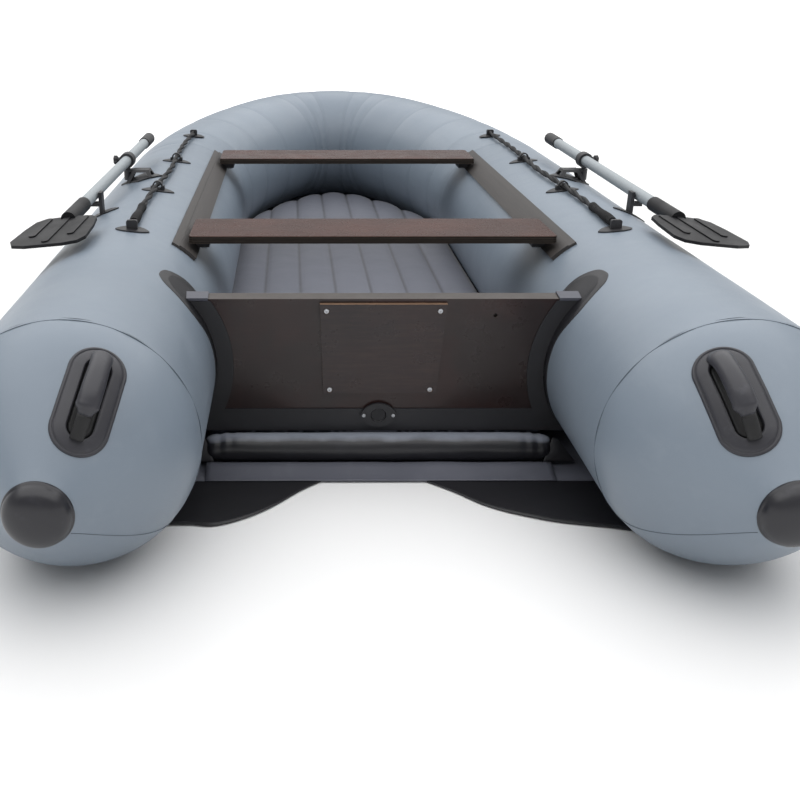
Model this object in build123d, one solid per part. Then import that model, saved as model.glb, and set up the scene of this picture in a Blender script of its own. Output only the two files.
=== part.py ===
from build123d import *
from math import acos, cos, degrees, pi, radians, sin, sqrt
import os

# Inflatable dinghy, millimetres. +Y points to the bow, +X to starboard, +Z up.
# Places along the boat are measured from the transom's top aft edge and shifted at the end,
# so that the origin is under the middle of the whole boat.

# ---- driving dimensions: hull ----
tube_radius = 235.0
tube_spacing = 1190.0        # between the two tube axes
wall = 4.0                   # fabric with its seam tapes, thicker than the real 0.9 mm skin
seam_y = -362.0              # where the stern cones are welded on
straight_end = 1650.0        # where the bow curve begins
shoulder_radius = 1400.0
nose_radius = 330.0
bow_rise = 80.0
cone_length = 265.0
cap_radius = 57.0
cone_fullness = 1.15          # exponent of the cone's curve: less is fuller
cap_height = 38.0
baffle_thickness = 4.0
strake_thickness = 7.0
strake_half_angle = 8.0
# ---- transom ----
transom_top = 389.0
transom_bottom = 69.0
transom_thickness = 33.0
transom_rake = 5.1
transom_clearance = 2.0
pad_thickness = 9.0
pad_top_half = 135.0
pad_bottom_half = 125.0
pad_height = 0.6625 * (transom_top - transom_bottom)
pad_drop = 9.0
pad_head_radius = 6.0
pad_head_height = 3.6
edge_band = 38.0
band_thickness = 3.0
bottom_strip_height = 56.0
hole_radius = 4.5
hole_x = 240.0
hole_drop = 38.0
drain_height = transom_bottom + 42.0
drain_radius = 19.0
flange_half_width = 41.0
flange_half_height = 30.0
flange_thickness = 6.0
# ---- floor and bottom ----
sheet_low = 3.0
sheet_thickness = 3.0
floor_top = 135.0
channel_pitch = 110.0
channel_count = 7
channel_crown = 12.0
floor_aft = 72.0
floor_inset = tube_radius - 20.0   # from the bow tube's axis to the floor's edge
panel_inset = tube_radius - 27.0
panel_touch = 75.0           # where the bow panels meet the tube, inboard of its axis
roll_radius = 33.0
roll_height = 40.0
roll_y = 2.0
# ---- benches and rails ----
bench_top = 2 * tube_radius - 20.0
bench_thickness = 18.0
bench_depth = 190.0
bench_half = tube_spacing / 2 - 0.66 * tube_radius
bench_aft_y = 300.0
bench_fwd_y = 1410.0
rail_start = 270.0
rail_end = 1645.0
rail_thickness = 6.0
rail_lip = 3.0
slider_depth = 70.0
slider_height = 24.0
slider_clearance = 0.4
bolt_x = bench_half - 31.0
bolt_radius = 4.0
bolt_bury = 15.0             # how far a bolt reaches into the board
# ---- handles, lifelines, oars ----
handle_start = 0.27          # share of the cone's length, from the seam
handle_end = 0.855
handle_start_angle = -22.0   # round the tube from its top, inboard negative
handle_end_angle = -37.0
handle_width = 96.0
handle_rim = 11.0
handle_floor = 3.0
grip_radius = 13.0
grip_lift = 32.0
rope_radius = 8.0
rope_x = tube_spacing / 2 - 25.0
rope_play = 2.2
guide_places = (765.0, 1251.0)
eye_aft_y = 290.0
eye_fwd_y = 1790.0
patch_thickness = 3.0
oar_pivot = (tube_spacing / 2 + 89.0, 970.0, 2 * tube_radius + 48.0)
oar_yaw = 3.4
oar_pitch = 2.6
shaft_radius = 15.0
shaft_wall = 1.6
collar_radius = 22.0
collar_length = 30.0
collar_clearance = 0.1
pin_radius = 6.0
blade_width = 172.0
blade_length = 326.0            # with its socket
blade_thickness = 7.0
blade_roll = 6.0
clip_distance = 430.0
joint_distance = 190.0
neck_distance = 548.0
grip_end_distance = 345.0
grip_length = 95.0
valve_y = 150.0
valve_radius = 24.0

half = tube_spacing / 2
bow_turn = degrees(acos((shoulder_radius - half) / (shoulder_radius - nose_radius)))
nose_centre_y = straight_end + (shoulder_radius - nose_radius) * sin(radians(bow_turn))
bow_front = nose_centre_y + nose_radius + tube_radius + strake_thickness
stern_end = seam_y - cone_length - cap_height
shift_y = -(bow_front + stern_end) / 2
big = 4000.0
parts = {}


def polar(radius, angle):
    """A point round the tube, at an angle from its top, outboard positive."""
    return (radius * sin(radians(angle)), radius * cos(radians(angle)))


def sector(inner, outer, start, end):
    middle = (start + end) / 2
    outline = [
        ThreePointArc(polar(outer, start), polar(outer, middle), polar(outer, end)),
        Line(polar(outer, end), polar(inner, end)),
        ThreePointArc(polar(inner, end), polar(inner, middle), polar(inner, start)),
        Line(polar(inner, start), polar(outer, start)),
    ]
    return make_face(outline)


def tube_plane(y):
    return Plane(origin=(half, y, tube_radius), x_dir=(1, 0, 0), z_dir=(0, -1, 0))


def along_tube(face, start, end):
    """A face round the starboard tube, run from one place along the boat to another."""
    return extrude(tube_plane(end) * face, amount=end - start, dir=(0, -1, 0))


def tube_rod(radius, start=-1000.0, end=big):
    return along_tube(Circle(radius), start, end)


def outline(points):
    """A closed face from points joined by straight lines."""
    return make_face(Polyline(*points, close=True))


def block(x0, x1, y0, y1, z0, z1):
    size = Box(x1 - x0, y1 - y0, z1 - z0)
    return Pos((x0 + x1) / 2, (y0 + y1) / 2, (z0 + z1) / 2) * size


def add_pair(name, starboard):
    """Keeps a starboard piece and its mirror image to port."""
    parts[name + "_stbd"] = starboard
    parts[name + "_port"] = mirror(starboard, about=Plane.YZ)


def both_sides(starboard):
    return Compound(children=[*starboard.solids(), *mirror(starboard, about=Plane.YZ).solids()])


def hull_rod(radius):
    """The starboard tube at some radius, with the first gores of the bow."""
    rod = tube_rod(radius, seam_y, straight_end)
    for one, two in zip(stations[:3], stations[1:3]):
        rod += loft([one * Circle(radius), two * Circle(radius)], ruled=True)
    return rod


def tube_patch(plan, thickness):
    """A plan outline pressed on to the starboard tube as a skin of even thickness."""
    prism = extrude(Plane.XY.offset(tube_radius + 20) * plan, amount=tube_radius + bow_rise)
    return (hull_rod(tube_radius + thickness) & prism) - hull_rod(tube_radius)


# ---- hull tubes ----
def valve_hole(clearance):
    centre = (half - tube_radius, valve_y, tube_radius)
    aim = Plane(origin=centre, x_dir=(0, 1, 0), z_dir=(-1, 0, 0))
    return extrude(aim * Circle(valve_radius - 6 + clearance), amount=40, both=True)


def make_side_tube():
    tube = tube_rod(tube_radius, seam_y, straight_end) - tube_rod(tube_radius - wall)
    return tube - valve_hole(0.3)


def cone_radius(t):
    """Radius at a share of the cone's length: square to the tube at the seam, blunt at the cap."""
    return cap_radius + (tube_radius - cap_radius) * (1 - t * t) ** cone_fullness


def cone_profile(offset):
    """Half outline of the stern cone, drawn in by an offset."""
    steps = 7
    points = []
    for k in range(steps + 1):
        t = sin(radians(90 * k / steps))
        points.append((cone_radius(t) - offset, seam_y - (cone_length - offset) * t))
    curve = Spline(*points, tangents=[(0, -1), (-1, 0)])
    last = points[-1]
    sides = [Line(last, (0, last[1])), Line((0, last[1]), (0, seam_y)), Line((0, seam_y), points[0])]
    return make_face([*curve.edges(), *sides])


def spun(face):
    """A half outline in X and Y, spun round the starboard tube's axis."""
    placed = Plane(origin=(half, 0, tube_radius), x_dir=(1, 0, 0), z_dir=(0, 0, 1)) * face
    return revolve(placed, axis=Axis((half, 0, tube_radius), (0, 1, 0)), revolution_arc=360)


def make_cone():
    return spun(cone_profile(0)) - spun(cone_profile(wall))


def make_cap():
    base_y = seam_y - cone_length
    shape = [
        Line((0, base_y), (cap_radius, base_y)),
        Line((cap_radius, base_y), (cap_radius, base_y - 6)),
        Spline(
            (cap_radius, base_y - 6),
            (cap_radius * 0.72, base_y - cap_height * 0.78),
            (0, base_y - cap_height),
            tangents=[(0, -1), (-1, 0)],
        ),
        Line((0, base_y - cap_height), (0, base_y)),
    ]
    return spun(make_face(shape))


def bow_stations():
    """Planes across the bow tube from the starboard shoulder to the nose, local Y up."""
    shoulder_steps, nose_steps = 4, 3
    turns = [bow_turn * k / shoulder_steps for k in range(shoulder_steps + 1)]
    turns += [bow_turn + (90 - bow_turn) * k / nose_steps for k in range(1, nose_steps + 1)]
    shoulder_run = shoulder_radius * radians(bow_turn)
    whole_run = shoulder_run + nose_radius * radians(90 - bow_turn)
    planes = []
    for turn in turns:
        a = radians(turn)
        if turn <= bow_turn:
            x = half - shoulder_radius * (1 - cos(a))
            y = straight_end + shoulder_radius * sin(a)
            run = shoulder_radius * a
        else:
            x = nose_radius * cos(a)
            y = nose_centre_y + nose_radius * sin(a)
            run = shoulder_run + nose_radius * (a - radians(bow_turn))
        u = run / whole_run
        z = tube_radius + bow_rise * u * u * (3 - 2 * u)
        slope = bow_rise * 6 * u * (1 - u) / whole_run
        ahead = Vector(-sin(a), cos(a), slope)
        planes.append(Plane(origin=(x, y, z), x_dir=(cos(a), sin(a), 0), z_dir=-ahead))
    return planes


stations = bow_stations()


def bow_run(make_outline):
    """Ruled lengths between the stations of the starboard half of the bow."""
    faces = [plane * make_outline(plane) for plane in stations]
    return [loft([one, two], ruled=True) for one, two in zip(faces, faces[1:])]


def make_bow_tube():
    outer = bow_run(lambda plane: Circle(tube_radius))
    inner = bow_run(lambda plane: Circle(tube_radius - wall))
    gores = [skin - core for skin, core in zip(outer, inner)]
    return both_sides(Compound(children=[s for gore in gores for s in gore.solids()]))


def make_baffle():
    return tube_rod(tube_radius - wall, straight_end - baffle_thickness, straight_end)


def make_strake():
    low, high = 90 - strake_half_angle, 90 + strake_half_angle
    face = sector(tube_radius, tube_radius + strake_thickness, low, high)
    lengths = [along_tube(face, seam_y + 40, straight_end)]
    bow = bow_run(lambda plane: sector(tube_radius, tube_radius + strake_thickness, low, high))
    return both_sides(Compound(children=[s for part in [*lengths, *bow] for s in part.solids()]))


add_pair("side_tube", make_side_tube())
add_pair("stern_cone", make_cone())
parts["cone_caps"] = both_sides(make_cap())
parts["chamber_baffles"] = both_sides(make_baffle())
parts["bow_tube"] = make_bow_tube()
parts["rub_strake"] = make_strake()


# ---- floor and bottom ----
def floor_plan(inset):
    """Plan of the floor: between the tubes, rounded at the bow."""
    gap = floor_inset + inset
    wide = half - 35 - inset
    aft = floor_aft + inset
    inner_shoulder = shoulder_radius - gap
    inner_nose = nose_radius - gap
    a = radians(bow_turn)
    centre_x = half - shoulder_radius
    joint = (centre_x + inner_shoulder * cos(a), straight_end + inner_shoulder * sin(a))
    tip = (0, nose_centre_y + inner_nose)
    b = radians((bow_turn + 90) / 2)
    nose_mid = (inner_nose * cos(b), nose_centre_y + inner_nose * sin(b))
    c = a / 2
    shoulder_mid = (centre_x + inner_shoulder * cos(c), straight_end + inner_shoulder * sin(c))
    shoulder = (centre_x + inner_shoulder, straight_end)
    side = [
        Line((0, aft), (wide, aft)),
        Line((wide, aft), (wide, straight_end)),
        Line((wide, straight_end), shoulder),
        ThreePointArc(shoulder, shoulder_mid, joint),
        ThreePointArc(joint, nose_mid, tip),
        Line(tip, (0, aft)),
    ]
    starboard = make_face(side)
    return starboard + mirror(starboard, about=Plane.YZ)


def floor_section(inset):
    """Section of the floor: channels on top, sides hollowed to the tubes."""
    edge = channel_pitch * channel_count / 2
    seam_z = floor_top - channel_crown - inset
    crown_z = floor_top - inset
    low = sheet_low + sheet_thickness + inset
    wide = half - 35 - inset
    arcs = []
    for k in range(channel_count):
        x = edge - k * channel_pitch
        middle = (x - channel_pitch / 2, crown_z)
        arcs.append(ThreePointArc((x, seam_z), middle, (x - channel_pitch, seam_z)))
    ends = [
        Line((wide, seam_z), (edge, seam_z)),
        Line((-edge, seam_z), (-wide, seam_z)),
        Line((-wide, seam_z), (-wide, low)),
        Line((-wide, low), (wide, low)),
        Line((wide, low), (wide, seam_z)),
    ]
    face = make_face([*arcs, *ends])
    for side in (-1, 1):
        face -= Pos(side * half, tube_radius) * Circle(tube_radius + 1 + inset)
    return face


def make_floor():
    along = Plane(origin=(0, big, 0), x_dir=(1, 0, 0), z_dir=(0, -1, 0))
    solid = extrude(along * floor_section(0), amount=big, dir=(0, -1, 0))
    solid &= extrude(floor_plan(0), amount=400)
    room = extrude(along * floor_section(wall), amount=big, dir=(0, -1, 0))
    room &= extrude(floor_plan(wall), amount=400)
    for k in range(channel_count + 1):
        x = (k - channel_count / 2) * channel_pitch
        room -= block(x - 1.5, x + 1.5, 0, big, 0, 400)
    return solid - room


def make_bottom():
    """The flat bottom under the floor, and its sloping panels under the bow."""
    high = sheet_low + sheet_thickness
    flat = block(60 - half, half - 60, -95, straight_end, sheet_low, high)
    inner = floor_plan(0) & Pos(0, straight_end + big / 2) * Rectangle(2 * big, big)
    nose = extrude(Plane.XY.offset(sheet_low) * inner, amount=sheet_thickness)
    drop = sqrt(tube_radius**2 - panel_touch**2)

    def panel(plane):
        z = plane.origin.Z
        corners = [
            (-panel_inset, high - z),
            (-panel_inset, sheet_low - z),
            (-panel_touch, -drop - 0.5 - sheet_thickness),
            (-panel_touch, -drop - 0.5),
        ]
        return outline(corners)

    panels = [s for part in bow_run(panel) for s in part.solids()]
    sloped = both_sides(Compound(children=panels))
    return flat + nose, sloped


def make_flap():
    """The torn-edge flap of bottom cloth that reaches aft under the starboard cone."""
    root, tip = (-405, -95), (-44, -302)
    edge = Spline(root, (-314, -197), (-177, -266), (-80, -284), tip, tangents=[(1, -0.7), (1, -0.5)])
    sides = [Line(tip, (0, -300)), Line((0, -300), (0, -60)), Line((0, -60), (-405, -60))]
    closing = Line((-405, -60), root)
    face = Pos(half - 75, 0) * make_face([*edge.edges(), *sides, closing])
    return extrude(Plane.XY.offset(0.6) * face, amount=sheet_low - 0.6)


def make_roll():
    end = half - 223
    aim = Plane(origin=(-end, roll_y, roll_height), x_dir=(0, 1, 0), z_dir=(1, 0, 0))
    bar = extrude(aim * Circle(roll_radius), amount=2 * end, dir=(1, 0, 0))
    return fillet(bar.edges(), roll_radius * 0.7)


parts["floor_pad"] = make_floor()
parts["bottom_sheet"], parts["bow_bottom_panels"] = make_bottom()
parts["stern_roll"] = make_roll()
parts["stern_flaps"] = both_sides(make_flap())


# ---- transom ----
def raked(shape):
    """Leans a piece drawn upright at the transom: its top edge stays, its foot goes forward."""
    return Pos(0, 0, transom_top) * (Rot(transom_rake, 0, 0) * (Pos(0, 0, -transom_top) * shape))


def aft_of_board(shape_face, thickness, back=0.0):
    """A face drawn in X and Z, standing proud of the transom's aft side."""
    plane = Plane(origin=(0, -back, 0), x_dir=(1, 0, 0), z_dir=(0, -1, 0))
    return raked(extrude(plane * shape_face, amount=thickness, dir=(0, -1, 0)))


def between_tubes(shape, clearance):
    rod = tube_rod(tube_radius + clearance)
    return shape - rod - mirror(rod, about=Plane.YZ)


pad_screw_places = [
    (side * x, transom_top - pad_drop - drop)
    for side in (-1, 1)
    for x, drop in ((pad_top_half - 14, 16), (pad_bottom_half - 14, pad_height - 8))
]
drain_screw_places = [(-33.0, drain_height), (33.0, drain_height)]


def screw_hole(x, z, radius):
    plane = Plane(origin=(x, -20, z), x_dir=(1, 0, 0), z_dir=(0, 1, 0))
    return raked(extrude(plane * Circle(radius), amount=44, dir=(0, 1, 0)))


def through_hole(x, z, radius):
    plane = Plane(origin=(x, -30, z), x_dir=(1, 0, 0), z_dir=(0, 1, 0))
    return raked(extrude(plane * Circle(radius), amount=100, dir=(0, 1, 0)))


def make_board():
    board = raked(block(-half, half, 0, transom_thickness, transom_bottom, transom_top))
    board = between_tubes(board, transom_clearance)
    board -= through_hole(hole_x, transom_top - hole_drop, hole_radius)
    board -= through_hole(0, drain_height, drain_radius)
    for x, z in [*pad_screw_places, *drain_screw_places]:
        board -= screw_hole(x, z, 2.0)
    return board


def make_motor_pad():
    top = transom_top - pad_drop
    low = top - pad_height
    shape = [(-pad_top_half, top), (pad_top_half, top), (pad_bottom_half, low), (-pad_bottom_half, low)]
    pad = aft_of_board(outline(shape), pad_thickness)
    sink = Plane(origin=(0, -pad_thickness - 1, 0), x_dir=(1, 0, 0), z_dir=(0, 1, 0))
    for x, z in pad_screw_places:
        pad -= screw_hole(x, z, 2.0)
        spot = sink * (Pos(x, -z) * Circle(pad_head_radius + 0.3))
        pad -= raked(extrude(spot, amount=1 + pad_head_height + 0.2, dir=(0, 1, 0)))
    return pad


def pan_screw(x, z, seat, head_radius, head_height, length):
    head_plane = Plane(origin=(x, -seat, z), x_dir=(1, 0, 0), z_dir=(0, -1, 0))
    head = extrude(head_plane * Circle(head_radius), amount=head_height, dir=(0, -1, 0))
    top = head.edges().sort_by(Axis.Y)[0]
    head = fillet(top, head_height * 0.45)
    socket_plane = Plane(origin=(x, -seat - head_height, z), x_dir=(1, 0, 0), z_dir=(0, -1, 0))
    socket = socket_plane * RegularPolygon(head_radius * 0.42, 6)
    head -= extrude(socket, amount=head_height * 0.6, dir=(0, 1, 0))
    shank = extrude(head_plane * Circle(1.95), amount=length, dir=(0, 1, 0))
    return raked(head + shank)


def group(shapes):
    return Compound(children=[s for shape in shapes for s in shape.solids()])


def make_edge_holder():
    """The curved black band that ties the transom's starboard edge to the tube."""
    ring = along_tube(Circle(tube_radius + edge_band) - Circle(tube_radius + transom_clearance), -200, 200)
    low, high = transom_bottom + bottom_strip_height, transom_top - 4
    front = transom_thickness + band_thickness
    aft_plate = raked(block(0, half, -band_thickness, 0, low, high))
    fore_plate = raked(block(0, half, transom_thickness, front, low + 14, high))
    return group([ring & aft_plate, ring & fore_plate])


def make_leaf_patch():
    """The leaf-shaped reinforcement on the tube round the transom's end, slit for the board."""
    fore = [(40, 438), (88, 421), (103, 393), (84, 310), (62, 200), (30, 95)]
    aft = [(-8, 95), (-12, 200), (-18, 302), (-38, 366), (-18, 412), (40, 438)]
    face = make_face([*Spline(*fore).edges(), Line(fore[-1], aft[0]), *Spline(*aft).edges()])
    plane = Plane(origin=(0, 0, 0), x_dir=(0, 1, 0), z_dir=(1, 0, 0))
    prism = extrude(plane * face, amount=half, dir=(1, 0, 0))
    skin = tube_rod(tube_radius + 1.8, -200, 200) - tube_rod(tube_radius, -200, 200)
    return skin & prism


def make_corner_cap():
    """The small cloth cap folded over the transom's top corner."""
    front = transom_thickness + band_thickness
    rise = transom_top - tube_radius
    start = half - sqrt((tube_radius + transom_clearance) ** 2 - rise**2) - 43
    outer = raked(block(start, half, -band_thickness, front, transom_top - 3, transom_top + 3))
    board = raked(block(start, half, 0, transom_thickness, transom_bottom, transom_top))
    return between_tubes(outer - board, transom_clearance)


def make_bottom_strip():
    top = transom_bottom + bottom_strip_height
    strip = raked(block(-half, half, -band_thickness, 0, transom_bottom, top))
    strip = between_tubes(strip, transom_clearance)
    strip -= through_hole(0, drain_height, drain_radius)
    for x, z in drain_screw_places:
        strip -= screw_hole(x, z, 2.0)
    return strip


def make_drain_flange():
    left, right = (-flange_half_width, drain_height), (flange_half_width, drain_height)
    upper = ThreePointArc(left, (0, drain_height + flange_half_height), right)
    lower = ThreePointArc(right, (0, drain_height - flange_half_height), left)
    flange = aft_of_board(make_face([upper, lower]), flange_thickness, band_thickness)
    flange -= through_hole(0, drain_height, drain_radius - 1.5)
    front, back = -band_thickness - flange_thickness, -band_thickness
    flange += raked(block(-8, 8, front, back, drain_height + drain_radius - 3, drain_height + drain_radius))
    for x, z in drain_screw_places:
        flange -= screw_hole(x, z, 2.0)
    sleeve = Circle(drain_radius - 0.2) - Circle(drain_radius - 1.5)
    plane = Plane(origin=(0, -band_thickness, drain_height), x_dir=(1, 0, 0), z_dir=(0, 1, 0))
    return flange + raked(extrude(plane * sleeve, amount=band_thickness + transom_thickness, dir=(0, 1, 0)))


def make_drain_flap():
    """The rubber disc inside the drain's mouth, hung near its top edge."""
    radius = drain_radius - 3.5
    plane = Plane(origin=(0, -band_thickness - 1.0, drain_height), x_dir=(1, 0, 0), z_dir=(0, -1, 0))
    disc = extrude(plane * Circle(radius), amount=2.5, dir=(0, -1, 0))
    return raked(disc)


parts["transom_board"] = make_board()
parts["motor_pad"] = make_motor_pad()
pad_seat = pad_thickness - pad_head_height - 0.2
parts["pad_screws"] = group(
    [pan_screw(x, z, pad_seat, pad_head_radius, pad_head_height, 24) for x, z in pad_screw_places]
)
parts["edge_holders"] = both_sides(make_edge_holder())
parts["leaf_patches"] = both_sides(make_leaf_patch())
parts["corner_caps"] = both_sides(make_corner_cap())
parts["bottom_strip"] = make_bottom_strip()
parts["drain_flange"] = make_drain_flange()
parts["drain_flap"] = make_drain_flap()
drain_seat = band_thickness + flange_thickness
parts["drain_screws"] = group([pan_screw(x, z, drain_seat, 4.2, 2.4, 16) for x, z in drain_screw_places])


# ---- rails and benches ----
def make_rail():
    base = along_tube(sector(tube_radius, tube_radius + rail_thickness, -46, -30), rail_start, rail_end)
    lip_face = sector(tube_radius + rail_thickness, tube_radius + rail_thickness + rail_lip, -46, -34.5)
    return base + along_tube(lip_face, rail_start, rail_end)


def make_slider(y):
    """A block under the bench end, hollowed to the rail that it slides on."""
    low = bench_top - bench_thickness
    middle = y + bench_depth / 2
    size = slider_depth / 2
    piece = block(bolt_x - 13, bench_half, middle - size, middle + size, low - slider_height, low)
    return piece - tube_rod(tube_radius + rail_thickness + rail_lip + slider_clearance)


def bolt_places(y):
    middle = y + bench_depth / 2
    return [(side * bolt_x, middle + step) for side in (-1, 1) for step in (-22, 22)]


def upright(x, y, low, radius, height):
    return Pos(x, y, low + height / 2) * Cylinder(radius, height)


def bench_bolt(x, y):
    low = bench_top - bench_thickness - slider_height
    head = Pos(x, y, low) * extrude(RegularPolygon(7.4, 6), amount=-4.5)
    return head + upright(x, y, low, bolt_radius - 0.1, slider_height + bolt_bury)


def make_bench(y, name):
    low = bench_top - bench_thickness
    board = block(-bench_half, bench_half, y, y + bench_depth, low, bench_top)
    board = fillet(board.edges().filter_by(Axis.Z), 14)
    board = fillet(board.edges().group_by(Axis.Z)[-1], 3)
    places = bolt_places(y)
    drills = [upright(x, at, low - slider_height, bolt_radius, slider_height + bolt_bury) for x, at in places]
    sliders = both_sides(make_slider(y)).solids()
    for drill in drills:
        board -= drill
        sliders = [slider - drill for slider in sliders]
    parts["bench_" + name] = board
    parts["bench_sliders_" + name] = group(sliders)
    parts["bench_bolts_" + name] = group([bench_bolt(x, at) for x, at in places])


parts["bench_rails"] = both_sides(make_rail())
make_bench(bench_aft_y, "aft")
make_bench(bench_fwd_y, "fwd")


# ---- carry handles on the cones ----
def on_cone(t, angle):
    across, up = polar(cone_radius(t), angle)
    return Vector(half + across, seam_y - cone_length * t, tube_radius + up)


def make_handle():
    """A stadium pad that follows the cone, rimmed round a recess, with a grip arched over it."""
    top = on_cone(handle_start, handle_start_angle)
    foot = on_cone(handle_end, handle_end_angle)
    length = (foot - top).length
    long_way = (foot - top).normalized()
    out_way = (top + foot) * 0.5 - Vector(half, seam_y, tube_radius)
    out_way = (out_way - long_way * out_way.dot(long_way)).normalized()
    plane = Plane(origin=(top + foot) * 0.5, x_dir=long_way, z_dir=out_way)
    whole = extrude(plane * SlotOverall(length, handle_width), amount=90, both=True)
    inner = extrude(plane * SlotOverall(length - 36, handle_width - 36), amount=90, both=True)
    skin = spun(cone_profile(0))
    pad = (spun(cone_profile(-handle_floor)) & whole) - skin
    rim = ((spun(cone_profile(-handle_rim)) & whole) - skin) - inner
    reach = length / 2 - 22
    bulge = 24.0
    path = Spline(
        (-reach, 0, 6),
        (-reach * 0.6, 0, bulge + grip_lift * 0.6),
        (0, 0, bulge + grip_lift),
        (reach * 0.6, 0, bulge + grip_lift * 0.6),
        (reach, 0, 6),
    )
    bar = sweep(Plane(origin=path @ 0, z_dir=path % 0) * Circle(grip_radius), path=path)
    grip = plane.location * bar
    return pad + rim + (grip - spun(cone_profile(-handle_floor / 2)))


add_pair("carry_handle", make_handle())


# ---- lifelines ----
def lens_plan(x, y, long_half, short_half):
    """A pointed oval in plan, its long axis across the tube."""
    arcs = [
        ThreePointArc((-long_half, 0), (0, short_half), (long_half, 0)),
        ThreePointArc((long_half, 0), (0, -short_half), (-long_half, 0)),
    ]
    return Pos(x, y) * make_face(arcs)


rope_z = tube_radius + sqrt((tube_radius + patch_thickness) ** 2 - (half - rope_x) ** 2) + rope_radius + 1.2


def make_guide(y):
    """A patch with a moulded loop that the rope runs through."""
    patch = tube_patch(lens_plan(rope_x, y, 46, 26), patch_thickness)
    plane = Plane(origin=(rope_x, y, rope_z), x_dir=(1, 0, 0), z_dir=(0, -1, 0))
    inner, outer = rope_radius + rope_play, rope_radius + rope_play + 4
    legs = Rectangle(2 * outer + 10, 2 * outer) - Rectangle(2 * inner, 3 * outer)
    arch = Circle(outer) - Circle(inner) + Pos(0, -outer) * legs
    loop = extrude(plane * arch, amount=7, both=True)
    return patch + (loop - hull_rod(tube_radius + patch_thickness - 0.5))


def make_eye(x, y, top):
    """A patch with an upright moulded eye that ends the rope."""
    patch = tube_patch(lens_plan(x, y, 40, 26), patch_thickness)
    post = block(x - 13, x + 13, y - 5, y + 5, 2 * tube_radius - 30, top)
    post = fillet(post.edges().filter_by(Axis.Y), 5)
    return patch + (post - hull_rod(tube_radius + patch_thickness - 0.5))


rope_route = [
    (rope_x, eye_aft_y + 5.6, rope_z),
    (rope_x + 1, 390, rope_z + 1),
    (rope_x + 5, 520, rope_z - 1),
    (rope_x + 4, 690, rope_z),
    (rope_x - 1, 850, rope_z + 0.5),
    (rope_x - 8, 1030, rope_z - 0.5),
    (rope_x - 2, 1200, rope_z),
    (rope_x + 2, 1330, rope_z + 0.5),
    (rope_x + 5, 1500, rope_z - 0.5),
    (rope_x + 1, 1650, rope_z + 0.5),
    (rope_x - 7, eye_fwd_y - 5.6, rope_z + 4),
]


def corner_radii(route):
    """0.45 of the shorter run over the tangent of half the turn, for each inner point."""
    radii = []
    for before, here, after in zip(route, route[1:], route[2:]):
        one = Vector(*here) - Vector(*before)
        two = Vector(*after) - Vector(*here)
        turn = radians(one.get_angle(two))
        radii.append(0.45 * min(one.length, two.length) / max(1e-9, sin(turn / 2) / cos(turn / 2)))
    return radii


def make_rope():
    radii = corner_radii(rope_route)
    path = FilletPolyline(*rope_route, radius=radii)
    start = Plane(origin=path @ 0, z_dir=path % 0)
    rope = sweep(start * Circle(rope_radius), path=path)
    print("lifeline radii", [round(r) for r in radii], "length", round(path.length))
    print("lifeline volume", round(rope.volume), "section x length", round(pi * rope_radius**2 * path.length))
    return rope


eye_top = rope_z + 11
parts["lifeline_guides"] = both_sides(group([make_guide(y) for y in guide_places]))
eyes = [make_eye(rope_x, eye_aft_y, eye_top), make_eye(rope_x - 7, eye_fwd_y, eye_top + 4)]
parts["lifeline_eyes"] = both_sides(group(eyes))
add_pair("lifeline", make_rope())


# ---- oars and rowlocks, starboard side ----
pivot = Vector(*oar_pivot)
shaft_way = Vector(sin(radians(oar_yaw)), -cos(radians(oar_yaw)), -sin(radians(oar_pitch))).normalized()
side_way = Vector(cos(radians(oar_yaw)), sin(radians(oar_yaw)), 0)


def oar_plane(distance):
    """Across the shaft, at a distance aft of the rowlock, local X outboard."""
    return Plane(origin=pivot + shaft_way * distance, x_dir=side_way, z_dir=shaft_way)


def oar_tube(start, end, outer, inner):
    return extrude(oar_plane(start) * (Circle(outer) - Circle(inner)), amount=end - start, dir=shaft_way)


def oar_rod(start, end, outer):
    return extrude(oar_plane(start) * Circle(outer), amount=end - start, dir=shaft_way)


def make_blade():
    """A ribbed blade with a socket for the shaft, rolled with its outboard edge low."""
    up_way = side_way.cross(shaft_way) * -1
    roll = radians(blade_roll)
    rolled = side_way * cos(roll) - up_way * sin(roll)
    flat = Plane(origin=pivot + shaft_way * neck_distance, x_dir=shaft_way, z_dir=shaft_way.cross(rolled))
    w = blade_width / 2
    end = blade_length
    root = 98.0
    edge = [(root, 14), (root + 6, w - 30), (root + 30, w - 13), (root + 92, w - 5), (end - 42, w),
            (end - 12, w - 12), (end, w - 44)]
    other = [(x, -y) for x, y in reversed(edge)]
    shape = outline([*edge, *other])
    blade = extrude(flat * shape, amount=blade_thickness / 2, both=True)
    ribs = []
    for y, reach in ((-44, 150), (0, 200), (44, 150)):
        rib = flat * (Pos(root + 14 + reach / 2, y) * SlotOverall(reach, 16))
        ribs.append(extrude(rib, amount=blade_thickness / 2 + 3, both=True))
    socket = oar_rod(neck_distance - 30, neck_distance + root + 16, shaft_radius + 3.2)
    for extra in [*ribs, socket]:
        blade += extra
    return blade - oar_rod(neck_distance - 31, neck_distance, shaft_radius)


def make_grip():
    outer = oar_rod(-grip_end_distance, -grip_end_distance + grip_length, shaft_radius + 3)
    outer = fillet(outer.edges().sort_by(Axis.Y)[-1], 7)
    return outer - oar_rod(-grip_end_distance + 6, 0, shaft_radius)


def make_collar():
    """The ring that holds the shaft, with its thumb-screw ear outboard and its pin below."""
    ring = oar_tube(-collar_length / 2, collar_length / 2, collar_radius, shaft_radius + collar_clearance)
    ear = Plane(origin=pivot + side_way * 20, x_dir=(0, 1, 0), z_dir=side_way)
    boss = extrude(ear * Circle(8), amount=10, dir=side_way)
    pin = upright(pivot.X, pivot.Y, pivot.Z - 52, pin_radius, 36)
    return ring + boss + pin - oar_rod(-40, 40, shaft_radius + collar_clearance)


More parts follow.
